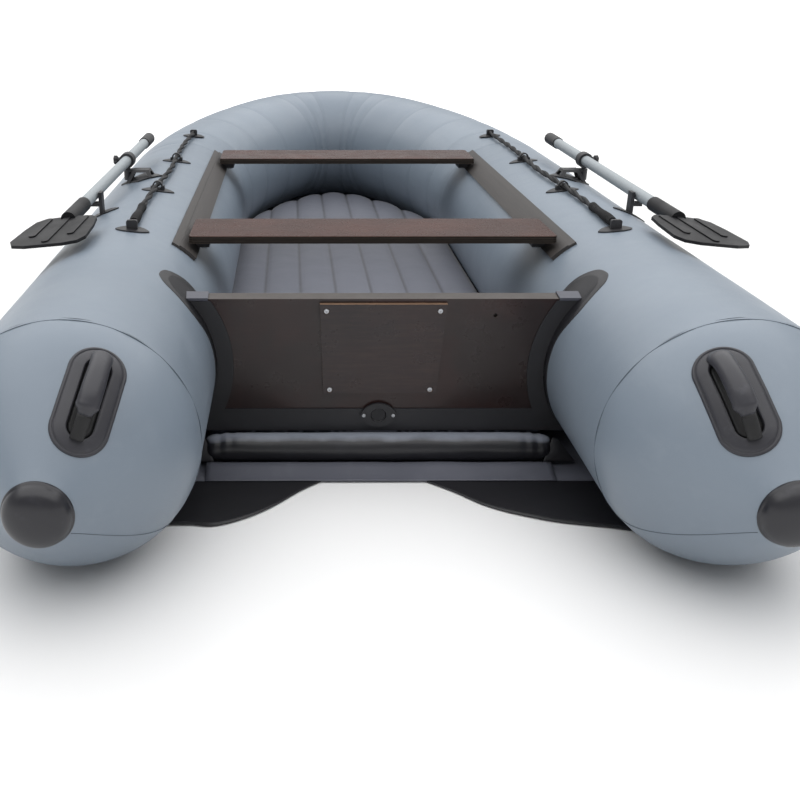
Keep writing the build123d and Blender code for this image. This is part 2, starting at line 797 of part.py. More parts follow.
def make_knob():
    start = Plane(origin=pivot + side_way * 30.3, x_dir=(0, 1, 0), z_dir=side_way)
    disc = extrude(start * Circle(13), amount=10, dir=side_way)
    for k in range(6):
        a = radians(60 * k)
        disc -= extrude(start * (Pos(16 * cos(a), 16 * sin(a)) * Circle(5)), amount=10, dir=side_way)
    return disc


def make_rowlock():
    """A hollow four-legged bracket on a lozenge patch, its top plate reaching out to the pin's boss."""
    x, y, z = oar_pivot
    lozenge = outline([(x - 102, y), (x - 38, y + 66), (x + 24, y), (x - 38, y - 66)])
    patch = tube_patch(lozenge, patch_thickness + 1)
    deck = z - collar_radius - 4
    middle = x - 40
    foot = Plane.XY.offset(deck - 50) * (Pos(middle, y) * Rectangle(100, 104))
    crown = Plane.XY.offset(deck) * (Pos(middle, y) * Rectangle(48, 40))
    frame = loft([foot, crown])
    low, high = deck - 60, deck - 7
    aft_window = outline([(-46, low), (46, low), (16, high), (-16, high)])
    side_window = outline([(-50, low), (50, low), (13, high), (-13, high)])
    across = Plane(origin=(middle, y, 0), x_dir=(1, 0, 0), z_dir=(0, -1, 0))
    along = Plane(origin=(middle, y, 0), x_dir=(0, 1, 0), z_dir=(1, 0, 0))
    frame -= extrude(across * aft_window, amount=80, both=True)
    frame -= extrude(along * side_window, amount=80, both=True)
    arm = block(middle, x, y - 12, y + 12, deck - 7, deck)
    boss = upright(x, y, deck - 32, 13, 32)
    body = frame + arm + boss - tube_rod(tube_radius + patch_thickness + 0.5)
    return body + patch - upright(x, y, z - 60, pin_radius + collar_clearance, 60)


def make_clip():
    """A tab on a patch that stops the stowed shaft from rolling inboard, open outboard."""
    spot = pivot + shaft_way * clip_distance
    plan = lens_plan(spot.X - 22, spot.Y, 44, 22)
    patch = tube_patch(plan, patch_thickness)
    stem = block(
        spot.X - 27, spot.X - 18, spot.Y - 14, spot.Y + 14, 2 * tube_radius - 50, spot.Z + 10
    )
    saddle = block(spot.X - 27, spot.X + 4, spot.Y - 14, spot.Y + 14, spot.Z - 26, spot.Z - 17.5)
    tab = stem + saddle - tube_rod(tube_radius + patch_thickness - 0.5)
    return patch + (tab - oar_rod(clip_distance - 60, clip_distance + 60, shaft_radius + 1.2))


bore = shaft_radius - shaft_wall
add_pair("oar_shaft_inner", oar_tube(-grip_end_distance + 6, joint_distance, shaft_radius, bore))
add_pair("oar_shaft_outer", oar_tube(joint_distance, neck_distance, shaft_radius, bore))
spigot = oar_tube(joint_distance - 50, joint_distance + 50, bore, bore - shaft_wall)
add_pair("oar_spigot", spigot)
add_pair("oar_grip", make_grip())
add_pair("oar_blade", make_blade())
add_pair("rowlock_collar", make_collar())
add_pair("rowlock_knob", make_knob())
parts["rowlock_brackets"] = both_sides(make_rowlock())
parts["oar_clips"] = both_sides(make_clip())


# ---- air valves and bow fittings ----
def make_valve():
    """Body with a flange on the tube's inner wall; the cap turns on it."""
    face_x = half - tube_radius
    aim = Plane(origin=(face_x, valve_y, tube_radius), x_dir=(0, 1, 0), z_dir=(-1, 0, 0))
    flange = extrude(aim * Circle(valve_radius + 8), amount=5, dir=(-1, 0, 0))
    back = extrude(aim * Circle(valve_radius + 8), amount=10, dir=(1, 0, 0)) - tube_rod(tube_radius)
    neck = extrude(aim * Circle(valve_radius - 6), amount=26, dir=(1, 0, 0))
    neck += extrude(aim * Circle(valve_radius - 6), amount=14, dir=(-1, 0, 0))
    body = flange + back + neck
    body -= extrude(aim * Circle(valve_radius - 9), amount=60, both=True)
    outer = aim.offset(5.3)
    cap = extrude(outer * Circle(valve_radius), amount=14, dir=(-1, 0, 0))
    for k in range(8):
        a = radians(45 * k)
        notch = Pos((valve_radius + 2) * cos(a), (valve_radius + 2) * sin(a)) * Circle(4)
        cap -= extrude(outer * notch, amount=14, dir=(-1, 0, 0))
    cap -= extrude(outer * Circle(valve_radius - 5.6), amount=9.5, dir=(-1, 0, 0))
    return body, cap


valve_body, valve_cap = make_valve()
parts["valve_bodies"] = both_sides(valve_body)
add_pair("valve_cap", valve_cap)


nose = stations[-1].origin
tow_height = nose.Z - 95
tow_bar = 22.0
tow_wire = 4.0


def nose_rod(radius):
    faces = [plane * Circle(radius) for plane in stations[-2:]]
    starboard = loft(faces, ruled=True)
    return starboard + mirror(starboard, about=Plane.YZ)


def nose_surface(height):
    """How far forward the nose reaches at a height."""
    return nose.Y + sqrt(tube_radius**2 - (height - nose.Z) ** 2)


def make_tow_patch():
    """A patch low on the nose with the lug that carries the tow ring."""
    y = nose_surface(tow_height)
    window = block(-46, 46, y - 60, y + 60, tow_height - 40, tow_height + 40)
    patch = (nose_rod(tube_radius + patch_thickness) & window) - nose_rod(tube_radius)
    lug = block(-12, 12, y - 30, y + 16, tow_height - 9, tow_height + 9)
    lug -= nose_rod(tube_radius + patch_thickness - 0.5)
    hole = Plane(origin=(0, y + 8, tow_height), x_dir=(0, 1, 0), z_dir=(1, 0, 0)) * Circle(tow_wire + 0.3)
    return patch + lug - extrude(hole, amount=60, both=True)


def make_tow_ring():
    """A D ring: a straight bar in the lug and a half loop below it."""
    y = nose_surface(tow_height) + 8
    plane = Plane(origin=(0, y, tow_height), x_dir=(1, 0, 0), z_dir=(0, -1, 0))
    path = ThreePointArc((-tow_bar, 0), (0, -tow_bar), (tow_bar, 0))
    loop = sweep(Plane(origin=path @ 0, z_dir=path % 0) * Circle(tow_wire), path=path)
    bar = extrude(Plane(origin=(-tow_bar, 0, 0), z_dir=(1, 0, 0)) * Circle(tow_wire), amount=2 * tow_bar)
    ends = [Pos(side * tow_bar, 0, 0) * Sphere(tow_wire) for side in (-1, 1)]
    return plane.location * (loop + bar + ends[0] + ends[1])


def make_bow_handle():
    """A grip across the nose, above the strake."""
    lean = 52.0
    reach = 70.0
    plane = Plane(
        origin=nose, x_dir=(1, 0, 0), z_dir=(0, -cos(radians(lean)), sin(radians(lean)))
    )
    foot, crown = tube_radius - 6, tube_radius + 30
    shoulder = reach * 0.62
    path = Spline((-reach, foot), (-shoulder, crown - 8), (0, crown), (shoulder, crown - 8), (reach, foot))
    bar = sweep(Plane(origin=path @ 0, z_dir=path % 0) * Circle(12), path=path)
    return plane.location * bar - nose_rod(tube_radius)


parts["tow_patch"] = make_tow_patch()
parts["tow_ring"] = make_tow_ring()
parts["bow_handle"] = make_bow_handle()

# ---- write every node ----
os.makedirs("parts", exist_ok=True)
for name, shape in parts.items():
    solids = [Pos(0, shift_y, 0) * s for s in shape.solids()]
    piece = solids[0] if len(solids) == 1 else Compound(children=solids)
    export_step(piece, "parts/" + name + ".step")
print(len(parts), "nodes, shift", round(shift_y, 3))
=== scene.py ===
from math import acos, cos, exp, pi, radians, sin, sqrt

import bmesh
import bpy
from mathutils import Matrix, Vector, noise


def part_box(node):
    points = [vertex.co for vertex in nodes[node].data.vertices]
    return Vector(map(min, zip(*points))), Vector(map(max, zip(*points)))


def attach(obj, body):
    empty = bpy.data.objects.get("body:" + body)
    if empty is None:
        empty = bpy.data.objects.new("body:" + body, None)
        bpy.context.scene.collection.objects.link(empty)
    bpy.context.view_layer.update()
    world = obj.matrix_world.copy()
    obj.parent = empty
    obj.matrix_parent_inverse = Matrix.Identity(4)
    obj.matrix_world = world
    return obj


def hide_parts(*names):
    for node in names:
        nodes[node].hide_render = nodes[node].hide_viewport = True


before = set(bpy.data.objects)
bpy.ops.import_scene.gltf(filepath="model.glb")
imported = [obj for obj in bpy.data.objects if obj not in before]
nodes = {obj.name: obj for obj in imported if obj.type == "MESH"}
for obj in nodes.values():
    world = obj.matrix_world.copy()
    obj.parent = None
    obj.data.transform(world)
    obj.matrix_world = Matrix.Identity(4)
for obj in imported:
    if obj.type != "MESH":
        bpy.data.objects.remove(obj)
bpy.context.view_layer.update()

print("frame loaded:", len(nodes), "nodes")


# places taken from the frame
def corners(node):
    low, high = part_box(node)
    return Vector(low), Vector(high)


tubeLow, tubeHigh = corners("side_tube_stbd")
hull = {
    "radius": (tubeHigh.z - tubeLow.z) / 2,
    "axisX": (tubeLow.x + tubeHigh.x) / 2,
    "seamY": tubeLow.y,          # where the stern cones are welded on
    "straightEnd": tubeHigh.y,   # where the bow curve begins
    "shoulderRadius": 1.4,
    "noseRadius": 0.33,
    "bowRise": 0.08,
    "coneLength": 0.265,
    "capRadius": 0.057,
    "coneFullness": 1.15,        # exponent of the cone's curve
    "capHeight": 0.038,
    "around": 96,                # points round each tube
}
sternY = hull["seamY"] + 0.362   # the transom's top aft edge
bowTurn = acos((hull["shoulderRadius"] - hull["axisX"]) / (hull["shoulderRadius"] - hull["noseRadius"]))
noseCentreY = hull["straightEnd"] + (hull["shoulderRadius"] - hull["noseRadius"]) * sin(bowTurn)
straightRun = hull["straightEnd"] - hull["seamY"]
shoulderRun = hull["shoulderRadius"] * bowTurn
noseRun = hull["noseRadius"] * (pi / 2 - bowTurn)
wholeRun = straightRun + shoulderRun + noseRun
rake = radians(5.1)
boardTop = 0.389


def pathAt(s):
    # centre, outboard and up directions at a distance along the starboard tube from the cone seam
    if s <= straightRun:
        centre = Vector((hull["axisX"], hull["seamY"] + s, hull["radius"]))
        return centre, Vector((1, 0, 0)), Vector((0, 0, 1))
    run = s - straightRun
    if run <= shoulderRun:
        a = run / hull["shoulderRadius"]
        x = hull["axisX"] - hull["shoulderRadius"] * (1 - cos(a))
        y = hull["straightEnd"] + hull["shoulderRadius"] * sin(a)
    else:
        a = bowTurn + (run - shoulderRun) / hull["noseRadius"]
        x = hull["noseRadius"] * cos(a)
        y = noseCentreY + hull["noseRadius"] * sin(a)
    u = min(1, run / (shoulderRun + noseRun))
    slope = hull["bowRise"] * 6 * u * (1 - u) / (shoulderRun + noseRun)
    out = Vector((cos(a), sin(a), 0))
    ahead = Vector((-sin(a), cos(a), slope)).normalized()
    centre = Vector((x, y, hull["radius"] + hull["bowRise"] * u * u * (3 - 2 * u)))
    return centre, out, out.cross(ahead).normalized()


def onTube(s, angle, lift=0.0, side=1):
    centre, out, up = pathAt(s)
    spot = centre + (out * sin(angle) + up * cos(angle)) * (hull["radius"] + lift)
    return Vector((spot.x * side, spot.y, spot.z))


def coneRadius(t):
    share = (1 - min(1, t * t)) ** hull["coneFullness"]
    return hull["capRadius"] + (hull["radius"] - hull["capRadius"]) * share


def onCone(t, angle, lift=0.0, side=1):
    r = coneRadius(t) + lift
    y = hull["seamY"] - hull["coneLength"] * t
    return Vector((side * (hull["axisX"] + r * sin(angle)), y, hull["radius"] + r * cos(angle)))


def leant(x, back, z):
    # a place on the raked transom: x, distance aft of its aft face, height before it is leant
    y, rise = -back, z - boardTop
    return Vector((x, sternY + y * cos(rake) - rise * sin(rake), boardTop + y * sin(rake) + rise * cos(rake)))


# materials
class Sock:  # an output of a node, with arithmetic
    def __init__(self, look, out):
        self.look = look
        self.out = out

    def work(self, operation, other=0.0, swapped=False):
        pair = (other, self) if swapped else (self, other)
        return self.look.add("ShaderNodeMath", {"operation": operation}, {0: pair[0], 1: pair[1]})

    def __add__(self, other):
        return self.work("ADD", other)

    def __radd__(self, other):
        return self.work("ADD", other)

    def __sub__(self, other):
        return self.work("SUBTRACT", other)

    def __rsub__(self, other):
        return self.work("SUBTRACT", other, True)

    def __mul__(self, other):
        return self.work("MULTIPLY", other)

    def __rmul__(self, other):
        return self.work("MULTIPLY", other)

    def __truediv__(self, other):
        return self.work("DIVIDE", other)

    def __rtruediv__(self, other):
        return self.work("DIVIDE", other, True)

    def __pow__(self, other):
        return self.work("POWER", other)


class Look:  # one material and the nodes in it
    def __init__(self, name):
        self.material = bpy.data.materials.new(name)
        self.material.use_nodes = True
        self.tree = self.material.node_tree
        self.tree.nodes.clear()

    def add(self, kind, settings=None, sockets=None, out=0):
        node = self.tree.nodes.new(kind)
        for key, value in (settings or {}).items():
            if key == "stops":
                ramp = node.color_ramp
                while len(ramp.elements) < len(value):
                    ramp.elements.new(0.5)
                for element, (spot, tone) in zip(ramp.elements, value):
                    element.position = spot
                    element.color = tone
            else:
                setattr(node, key, value)
        for key, value in (sockets or {}).items():
            if isinstance(value, Sock):
                self.tree.links.new(value.out, node.inputs[key])
            else:
                node.inputs[key].default_value = value
        return Sock(self, node.outputs[out])

    def place(self):
        return self.add("ShaderNodeTexCoord", out="Object")

    def facing(self):
        return self.add("ShaderNodeTexCoord", out="Normal")

    def axes(self, vector):
        node = self.add("ShaderNodeSeparateXYZ", {}, {0: vector}).out.node
        return [Sock(self, out) for out in node.outputs]

    def cloud(self, vector, scale, detail=3.0, rough=0.5):
        return self.add("ShaderNodeTexNoise", {}, {"Vector": vector, "Scale": scale, "Detail": detail,
                                                   "Roughness": rough})

    def stretched(self, vector, scale):
        return self.add("ShaderNodeVectorMath", {"operation": "MULTIPLY"}, {0: vector, 1: scale})

    def along(self, vector, way):
        return self.add("ShaderNodeVectorMath", {"operation": "DOT_PRODUCT"}, {0: vector, 1: way}, "Value")

    def remap(self, value, low, high, toLow=0.0, toHigh=1.0):
        sockets = {"Value": value, "From Min": low, "From Max": high, "To Min": toLow, "To Max": toHigh}
        return self.add("ShaderNodeMapRange", {}, sockets)

    def blend(self, factor, one, two):
        return self.add("ShaderNodeMix", {"data_type": "RGBA"}, {0: factor, 6: one, 7: two}, 2)

    def wave(self, value, pitch):
        return (value * (2 * pi / pitch)).work("SINE") * 0.5 + 0.5

    def weave(self, pitch):
        # a plain weave over the piece's own flat size
        uv = self.add("ShaderNodeTexCoord", out="UV")
        u, v, _ = self.axes(uv)
        return self.wave(u, pitch) * self.wave(v, pitch)

    def finish(self, colour, rough, bump=None, depth=0.0005, strength=1.0, fixed=None):
        sockets = {"Base Color": colour, "Roughness": rough}
        if bump is not None:
            sockets["Normal"] = self.add("ShaderNodeBump", {}, {"Strength": strength, "Distance": depth,
                                                                "Height": bump})
        sockets.update(fixed or {})
        shader = self.add("ShaderNodeBsdfPrincipled", {}, sockets)
        end = self.tree.nodes.new("ShaderNodeOutputMaterial")
        self.tree.links.new(shader.out, end.inputs["Surface"])
        return self.material


def tone(red, green, blue):
    # a screen colour, 0 to 255, as linear light
    parts = []
    for value in (red, green, blue):
        v = value / 255
        parts.append(v / 12.92 if v <= 0.04045 else ((v + 0.055) / 1.055) ** 2.4)
    return (*parts, 1)


def coatedCloth(name, base, shade, light, rough=0.42, pitch=0.0012, sheen=0.0, paintedSheenTone=None, seamShade=None):
    look = Look(name)
    place = look.place()
    broad = look.cloud(place, 1.6, 3)
    fine = look.cloud(place, 70, 3, 0.6)
    scuff = look.remap(look.cloud(look.stretched(place, (3, 1.2, 3)), 6, 8, 0.62), 0.56, 0.78)
    colour = look.blend(look.remap(broad, 0.3, 0.7), shade, base)
    colour = look.blend(scuff * 0.22, colour, light)
    colour = look.blend(look.remap(fine, 0.35, 0.75, 0.0, 0.12), colour, shade)
    if paintedSheenTone:
        # painted sheen: faces that point up are blended towards a lighter tone with a little random spread,
        # standing in for the light above reflecting off glossy cloth
        _, _, up = look.axes(look.facing())
        colour = look.blend(look.remap(up + look.cloud(place, 14) * 0.3, 0.85, 1.12), colour, paintedSheenTone)
    if seamShade:
        # dark lines at the valleys between the floor's channels: the welded seams, darkened further as
        # painted shade in the valleys
        across, _, _ = look.axes(place)
        line = look.wave(across - seamShade[0] / 4, seamShade[0]) ** 60
        colour = look.blend(line * 0.75, colour, seamShade[1])
    gloss = rough + look.remap(look.cloud(place, 5, 5, 0.6), 0.3, 0.7, -0.05, 0.06) + scuff * 0.08
    ripple = look.cloud(place, 9, 2) * 6 + look.weave(pitch) * 0.10 + fine * 0.12
    return look.finish(colour, gloss, ripple, 0.0006, 0.5, {"Sheen Weight": sheen})


def mouldedPlastic(name, base, light, rough=0.5, grain=420, depth=0.0002, shine=0.5):
    look = Look(name)
    place = look.place()
    wear = look.remap(look.cloud(place, 34, 6, 0.65), 0.58, 0.8)
    colour = look.blend(wear * 0.35, base, light)
    gloss = rough + look.remap(look.cloud(place, 12, 4), 0.3, 0.7, -0.07, 0.08)
    pebbles = look.add("ShaderNodeTexVoronoi", {}, {"Vector": place, "Scale": grain})
    return look.finish(colour, gloss, pebbles, depth, 0.6, {"Specular IOR Level": shine})


def filmPlywood(name, base, redder, edgeDark, edgeLight, way, start, thick, plies, rough=0.32, coat=0.35,
                shine=0.3):
    # a phenolic film over plywood: faces are smooth, edges show the plies across the board
    look = Look(name)
    place = look.place()
    fibre = look.cloud(look.stretched(place, (6, 60, 60)), 3, 5, 0.6)
    warm = look.remap(look.cloud(place, 4.2, 4, 0.6), 0.42, 0.72)
    face = look.blend(warm * 0.75, base, redder)
    face = look.blend(look.remap(fibre, 0.45, 0.75, 0, 0.06), face, edgeLight)
    depth = (look.along(place, way) - start) / thick
    band = look.wave(depth, 2 / plies)
    grain = look.cloud(look.stretched(place, (14, 220, 220)), 2, 6, 0.65)
    edge = look.blend(look.remap(band, 0.35, 0.65) * look.remap(grain, 0.3, 0.6, 0.5, 1), edgeDark, edgeLight)
    facing = look.along(look.facing(), way).work("ABSOLUTE")
    isEdge = look.remap(facing, 0.72, 0.5)
    colour = look.blend(isEdge, face, edge)
    gloss = rough + isEdge * 0.35 + look.remap(look.cloud(place, 18, 5, 0.6), 0.35, 0.7, -0.04, 0.08)
    height = fibre * 0.08 * (1 - isEdge) + (band * 0.6 + grain) * isEdge
    return look.finish(colour, gloss, height, 0.0003, 0.5, {"Coat Weight": coat, "Coat Roughness": 0.18,
                                                          "Specular IOR Level": shine})


def drawnMetal(name, base, dark, way, rough=0.38, metallic=0.85):
    look = Look(name)
    place = look.place()
    streaks = look.cloud(look.stretched(place, way), 30, 4, 0.6)
    spots = look.remap(look.cloud(place, 60, 6, 0.7), 0.6, 0.75)
    colour = look.blend(look.remap(streaks, 0.35, 0.7), dark, base)
    colour = look.blend(spots * 0.3, colour, dark)
    gloss = rough + look.remap(streaks, 0.3, 0.7, -0.08, 0.1)
    return look.finish(colour, gloss, streaks, 0.0001, 0.4, {"Metallic": metallic})


def railPlastic(name):
    look = Look(name)
    place = look.place()
    streaks = look.cloud(look.stretched(place, (120, 2.5, 120)), 2, 6, 0.7)
    chips = look.remap(look.cloud(look.stretched(place, (60, 8, 60)), 4, 6, 0.7), 0.6, 0.72)
    colour = look.blend(look.remap(streaks, 0.3, 0.7), tone(45, 42, 41), tone(66, 62, 60))
    colour = look.blend(chips * 0.35, colour, tone(98, 92, 88))
    return look.finish(colour, 0.5 + streaks * 0.15, streaks, 0.0004, 0.6)


def paleFloor(name):
    # lit evenly to the horizon by a glow that starts well away from the boat
    look = Look(name)
    place = look.place()
    colour = look.blend(look.cloud(place, 0.6), tone(236, 236, 236), tone(240, 240, 240))
    reach = look.add("ShaderNodeVectorMath", {"operation": "LENGTH"}, {0: place}, "Value")
    glow = look.blend(look.remap(reach, 2.4, 8.0), (0, 0, 0, 1), (1, 1, 1, 1))
    fixed = {"Specular IOR Level": 0.2, "Emission Color": glow, "Emission Strength": 0.75}
    return look.finish(colour, 0.34 + look.cloud(place, 3) * 0.05, fixed=fixed)


looks = {
    "tube": coatedCloth("tubeCloth", tone(123, 134, 146), tone(114, 125, 137), tone(142, 152, 162), 0.40),
    "tape": coatedCloth("tapeCloth", tone(120, 131, 143), tone(111, 122, 134), tone(138, 148, 158), 0.44),
    # the seam beads are darker than the tube: a real seam edge, with painted shadow along the cloth overlap's
    # edge
    "seam": coatedCloth("seamEdgeAndShadow", tone(92, 102, 112), tone(84, 94, 104), tone(106, 116, 126), 0.55),
    # the floor's dark channel lines are its seams with painted shade in the valleys
    "floor": coatedCloth("floorCloth", tone(84, 87, 99), tone(76, 79, 91), tone(102, 106, 116), 0.6, 0.0016,
                         0.2, seamShade=(0.110, tone(34, 36, 44))),
    "black": coatedCloth("blackCloth", tone(37, 37, 41), tone(30, 30, 34), tone(60, 60, 65), 0.55, 0.0014),
    "dark": coatedCloth("flapCloth", tone(27, 27, 32), tone(22, 22, 26), tone(46, 46, 52), 0.5, 0.0014),
    "corner": coatedCloth("cornerCloth", tone(74, 76, 86), tone(66, 68, 78), tone(96, 98, 106), 0.5, 0.0014),
    # the stern roll's lighter top is painted sheen
    "roll": coatedCloth("rollCloth", tone(32, 32, 37), tone(26, 26, 30), tone(56, 57, 66), 0.34, 0.0014,
                        paintedSheenTone=tone(136, 141, 152)),
    # painted shade: a near-black tone for the handle's well and the grip's lower neck, which face down and
    # away from the light
    "well": mouldedPlastic("handleWellShade", tone(15, 15, 17), tone(26, 26, 28), 0.6, 900, 0.0001),
    "under": coatedCloth("underCloth", tone(96, 98, 108), tone(84, 86, 95), tone(122, 124, 132), 0.42,
                         0.0014),
    "plastic": mouldedPlastic("blackPlastic", tone(36, 36, 39), tone(76, 76, 80), 0.5),
    "rubber": mouldedPlastic("blackRubber", tone(33, 33, 36), tone(64, 64, 68), 0.62, 700, 0.00015),
    "handle": mouldedPlastic("handleRubber", tone(45, 45, 51), tone(88, 89, 96), 0.42, 900, 0.0001),
    "cap": mouldedPlastic("capRubber", tone(34, 34, 39), tone(60, 60, 68), 0.33, 900, 0.00004, 0.5),
    "strake": mouldedPlastic("strakeRubber", tone(30, 30, 33), tone(62, 62, 66), 0.55, 500, 0.0002),
    "blade": mouldedPlastic("bladePlastic", tone(20, 20, 23), tone(42, 42, 46), 0.5, 520, 0.0002, 0.28),
    "rail": railPlastic("railPlastic"),
    "alloy": drawnMetal("drawnAlloy", tone(166, 172, 176), tone(138, 145, 149), (60, 2, 60), 0.52, 0.2),
    "steel": drawnMetal("brightSteel", tone(206, 208, 212), tone(150, 152, 156), (40, 40, 40), 0.28, 1.0),
    "rope": mouldedPlastic("ropeCord", tone(26, 26, 28), tone(70, 70, 73), 0.72, 900, 0.0006),
}
boardStart = leant(0, 0, boardTop).dot(Vector((0, cos(rake), sin(rake))))
boardWay = (0, cos(rake), sin(rake))
looks["board"] = filmPlywood("transomFilm", tone(38, 29, 29), tone(56, 30, 27), tone(36, 31, 29),
                             tone(70, 61, 55), boardWay, boardStart, 0.033, 11, 0.30, 0.25)
looks["pad"] = filmPlywood("padFilm", tone(38, 30, 32), tone(50, 34, 33), tone(94, 72, 56),
                           tone(140, 112, 90), boardWay, boardStart - 0.009, 0.009, 5, 0.30, 0.25)
benchLow = corners("bench_aft")[0]
looks["bench"] = filmPlywood("benchFilm", tone(58, 32, 25), tone(78, 42, 32), tone(30, 27, 25),
                             tone(66, 59, 54), (0, 0, 1), benchLow.z, 0.018, 7, 0.26, 0.0, 0.12)
print("materials ready")


# mesh helpers
def meshPiece(name, points, faces, look, uvs=None, body="hull", sharp=None):
    mesh = bpy.data.meshes.new(name)
    mesh.from_pydata([tuple(p) for p in points], [], faces)
    if uvs:
        layer = mesh.uv_layers.new(name="flat")
        for loop in mesh.loops:
            layer.data[loop.index].uv = uvs[loop.vertex_index]
    mesh.polygons.foreach_set("use_smooth", [True] * len(mesh.polygons))
    mesh.update()
    work = bmesh.new()
    work.from_mesh(mesh)
    bmesh.ops.remove_doubles(work, verts=work.verts, dist=1e-6)
    bmesh.ops.recalc_face_normals(work, faces=work.faces)
    work.to_mesh(mesh)
    work.free()
    if sharp:
        mesh.set_sharp_from_angle(angle=radians(sharp))
    piece = bpy.data.objects.new(name, mesh)
    bpy.context.scene.collection.objects.link(piece)
    mesh.materials.append(looks[look])
    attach(piece, body)
    return piece


def loft(name, rows, look, closed=True, ends=True, body="hull", sharp=None):
    # rows of points joined by quads, with a flat UV in metres
    points = []
    uvs = []
    faces = []
    wide = len(rows[0])
    v = 0.0
    for k, row in enumerate(rows):
        if k:
            v += max((a - b).length for a, b in zip(row, rows[k - 1]))
        u = 0.0
        for j, spot in enumerate(row):
            if j:
                u += (spot - row[j - 1]).length
            points.append(spot)
            uvs.append((u, v))
    spans = wide if closed else wide - 1
    for k in range(len(rows) - 1):
        for j in range(spans):
            a, b = k * wide + j, k * wide + (j + 1) % wide
            faces.append((a, b, b + wide, a + wide))
    if closed and ends:
        for k in (0, len(rows) - 1):
            hub = sum(rows[k], Vector()) / wide
            points.append(hub)
            uvs.append((0, 0))
            for j in range(wide):
                faces.append((k * wide + j, k * wide + (j + 1) % wide, len(points) - 1))
    return meshPiece(name, points, faces, look, uvs, body, sharp)


def frameAlong(path):
    # a direction and two across it at each point, turned as little as possible
    frames = []
    side = None
    for k in range(len(path)):
        ahead = (path[min(k + 1, len(path) - 1)] - path[max(k - 1, 0)]).normalized()
        if side is None:
            side = ahead.orthogonal().normalized()
        side = (side - ahead * side.dot(ahead)).normalized()
        frames.append((ahead, side, ahead.cross(side)))
    return frames


def roundRows(path, radius, count):
    rows = []
    for spot, (_, one, two) in zip(path, frameAlong(path)):
        rows.append([spot + (one * cos(2 * pi * j / count) + two * sin(2 * pi * j / count)) * radius
                     for j in range(count)])
    return rows


def bead(name, path, radius, look):
    return loft(name, roundRows(path, radius, 8), look)


def joined(name, pieces, look):
    # several meshes as one piece
    points, faces, uvs = [], [], []
    for rows in pieces:
        wide = len(rows[0])
        base = len(points)
        v = 0.0
        for k, row in enumerate(rows):
            v += (row[0] - rows[k - 1][0]).length if k else 0
            points += row
            uvs += [(0.004 * j, v) for j in range(wide)]
        for k in range(len(rows) - 1):
            for j in range(wide):
                a, b = base + k * wide + j, base + k * wide + (j + 1) % wide
                faces.append((a, b, b + wide, a + wide))
        faces.append(tuple(base + j for j in range(wide)))
        faces.append(tuple(base + (len(rows) - 1) * wide + j for j in range(wide)))
    return meshPiece(name, points, faces, look, uvs)


def curveThrough(points, steps=8, closed=False):
    # a Catmull-Rom curve of vectors
    out = []
    n = len(points)
    for k in range(n if closed else n - 1):
        if closed:
            a, b, c, d = (points[(k + i) % n] for i in (-1, 0, 1, 2))
        else:
            a, b, c, d = (points[max(0, min(n - 1, k + i))] for i in (-1, 0, 1, 2))
        for i in range(steps):
            t = i / steps
            out.append(0.5 * (2 * b + (c - a) * t + (2 * a - 5 * b + 4 * c - d) * t * t
                              + (3 * b - a - 3 * c + d) * t ** 3))
    if not closed:
        out.append(points[-1].copy())
    return out


def cloth(name, rows, thick, look):
    # an open sheet given an even thickness, its edges closed
    sheet = loft(name, rows, look, closed=False)
    solid = sheet.modifiers.new("thickness", "SOLIDIFY")
    solid.thickness = thick
    solid.offset = 0
    applied = bpy.data.meshes.new_from_object(sheet.evaluated_get(bpy.context.evaluated_depsgraph_get()))
    sheet.modifiers.clear()
    sheet.data = applied
    sheet.data.name = name
    return sheet


def area(rows):
    total = 0.0
    for one, two in zip(rows, rows[1:]):
        for a, b, c, d in zip(one, one[1:], two, two[1:]):
            total += (b - a).cross(c - a).length / 2 + (d - b).cross(d - c).length / 2
    return total


# hull tubes
seams = [straightRun + shoulderRun * k / 4 for k in range(5)]
seams += [straightRun + shoulderRun + noseRun * k / 3 for k in range(1, 3)]
tubeShape = {"dip": 0.0045, "dipWidth": 0.030, "stretch": 0.0006}


def tubeLift(s, angle):
    # cloth drawn in at the bow's welded seams, most on the inner side
    lift = 0.0
    inner = 0.35 + 0.65 * max(0.0, -sin(angle))
    for seam in seams:
        lift -= tubeShape["dip"] * inner * exp(-((s - seam) / tubeShape["dipWidth"]) ** 2)
    lift += tubeShape["stretch"] * noise.noise(Vector((s * 5, sin(angle) * 2, cos(angle) * 2)))
    return lift


def makeTubes():
    stops = [wholeRun * k / 90 for k in range(91)]
    for seam in seams:
        stops += [seam + step for step in (-0.036, -0.022, -0.011, 0, 0.011, 0.022, 0.036)]
    stops = sorted(s for s in stops if 0 <= s <= wholeRun)
    stops = [s for k, s in enumerate(stops) if k == 0 or s - stops[k - 1] > 0.004]
    stops[-1] = wholeRun
    angles = [2 * pi * j / hull["around"] for j in range(hull["around"])]
    half = [[onTube(s, a, tubeLift(s, a)) for a in angles] for s in stops]
    other = [[Vector((-p.x, p.y, p.z)) for p in row] for row in reversed(half[:-1])]
    skin = loft("hull_tube_skin", half + other, "tube", ends=False)
    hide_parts("side_tube_stbd", "side_tube_port", "bow_tube")


def makeCone(side, name):
    rows = []
    count = 26
    for k in range(count + 1):
        t = sin(pi / 2 * k / count)
        rows.append([onCone(t, a, 0.0007 * sin(14 * a) * exp(-t / 0.10), side)
                     for a in (2 * pi * j / hull["around"] for j in range(hull["around"]))])
    skin = loft("cone_skin_" + name, rows, "tube", ends=False)
    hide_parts("stern_cone_" + name)


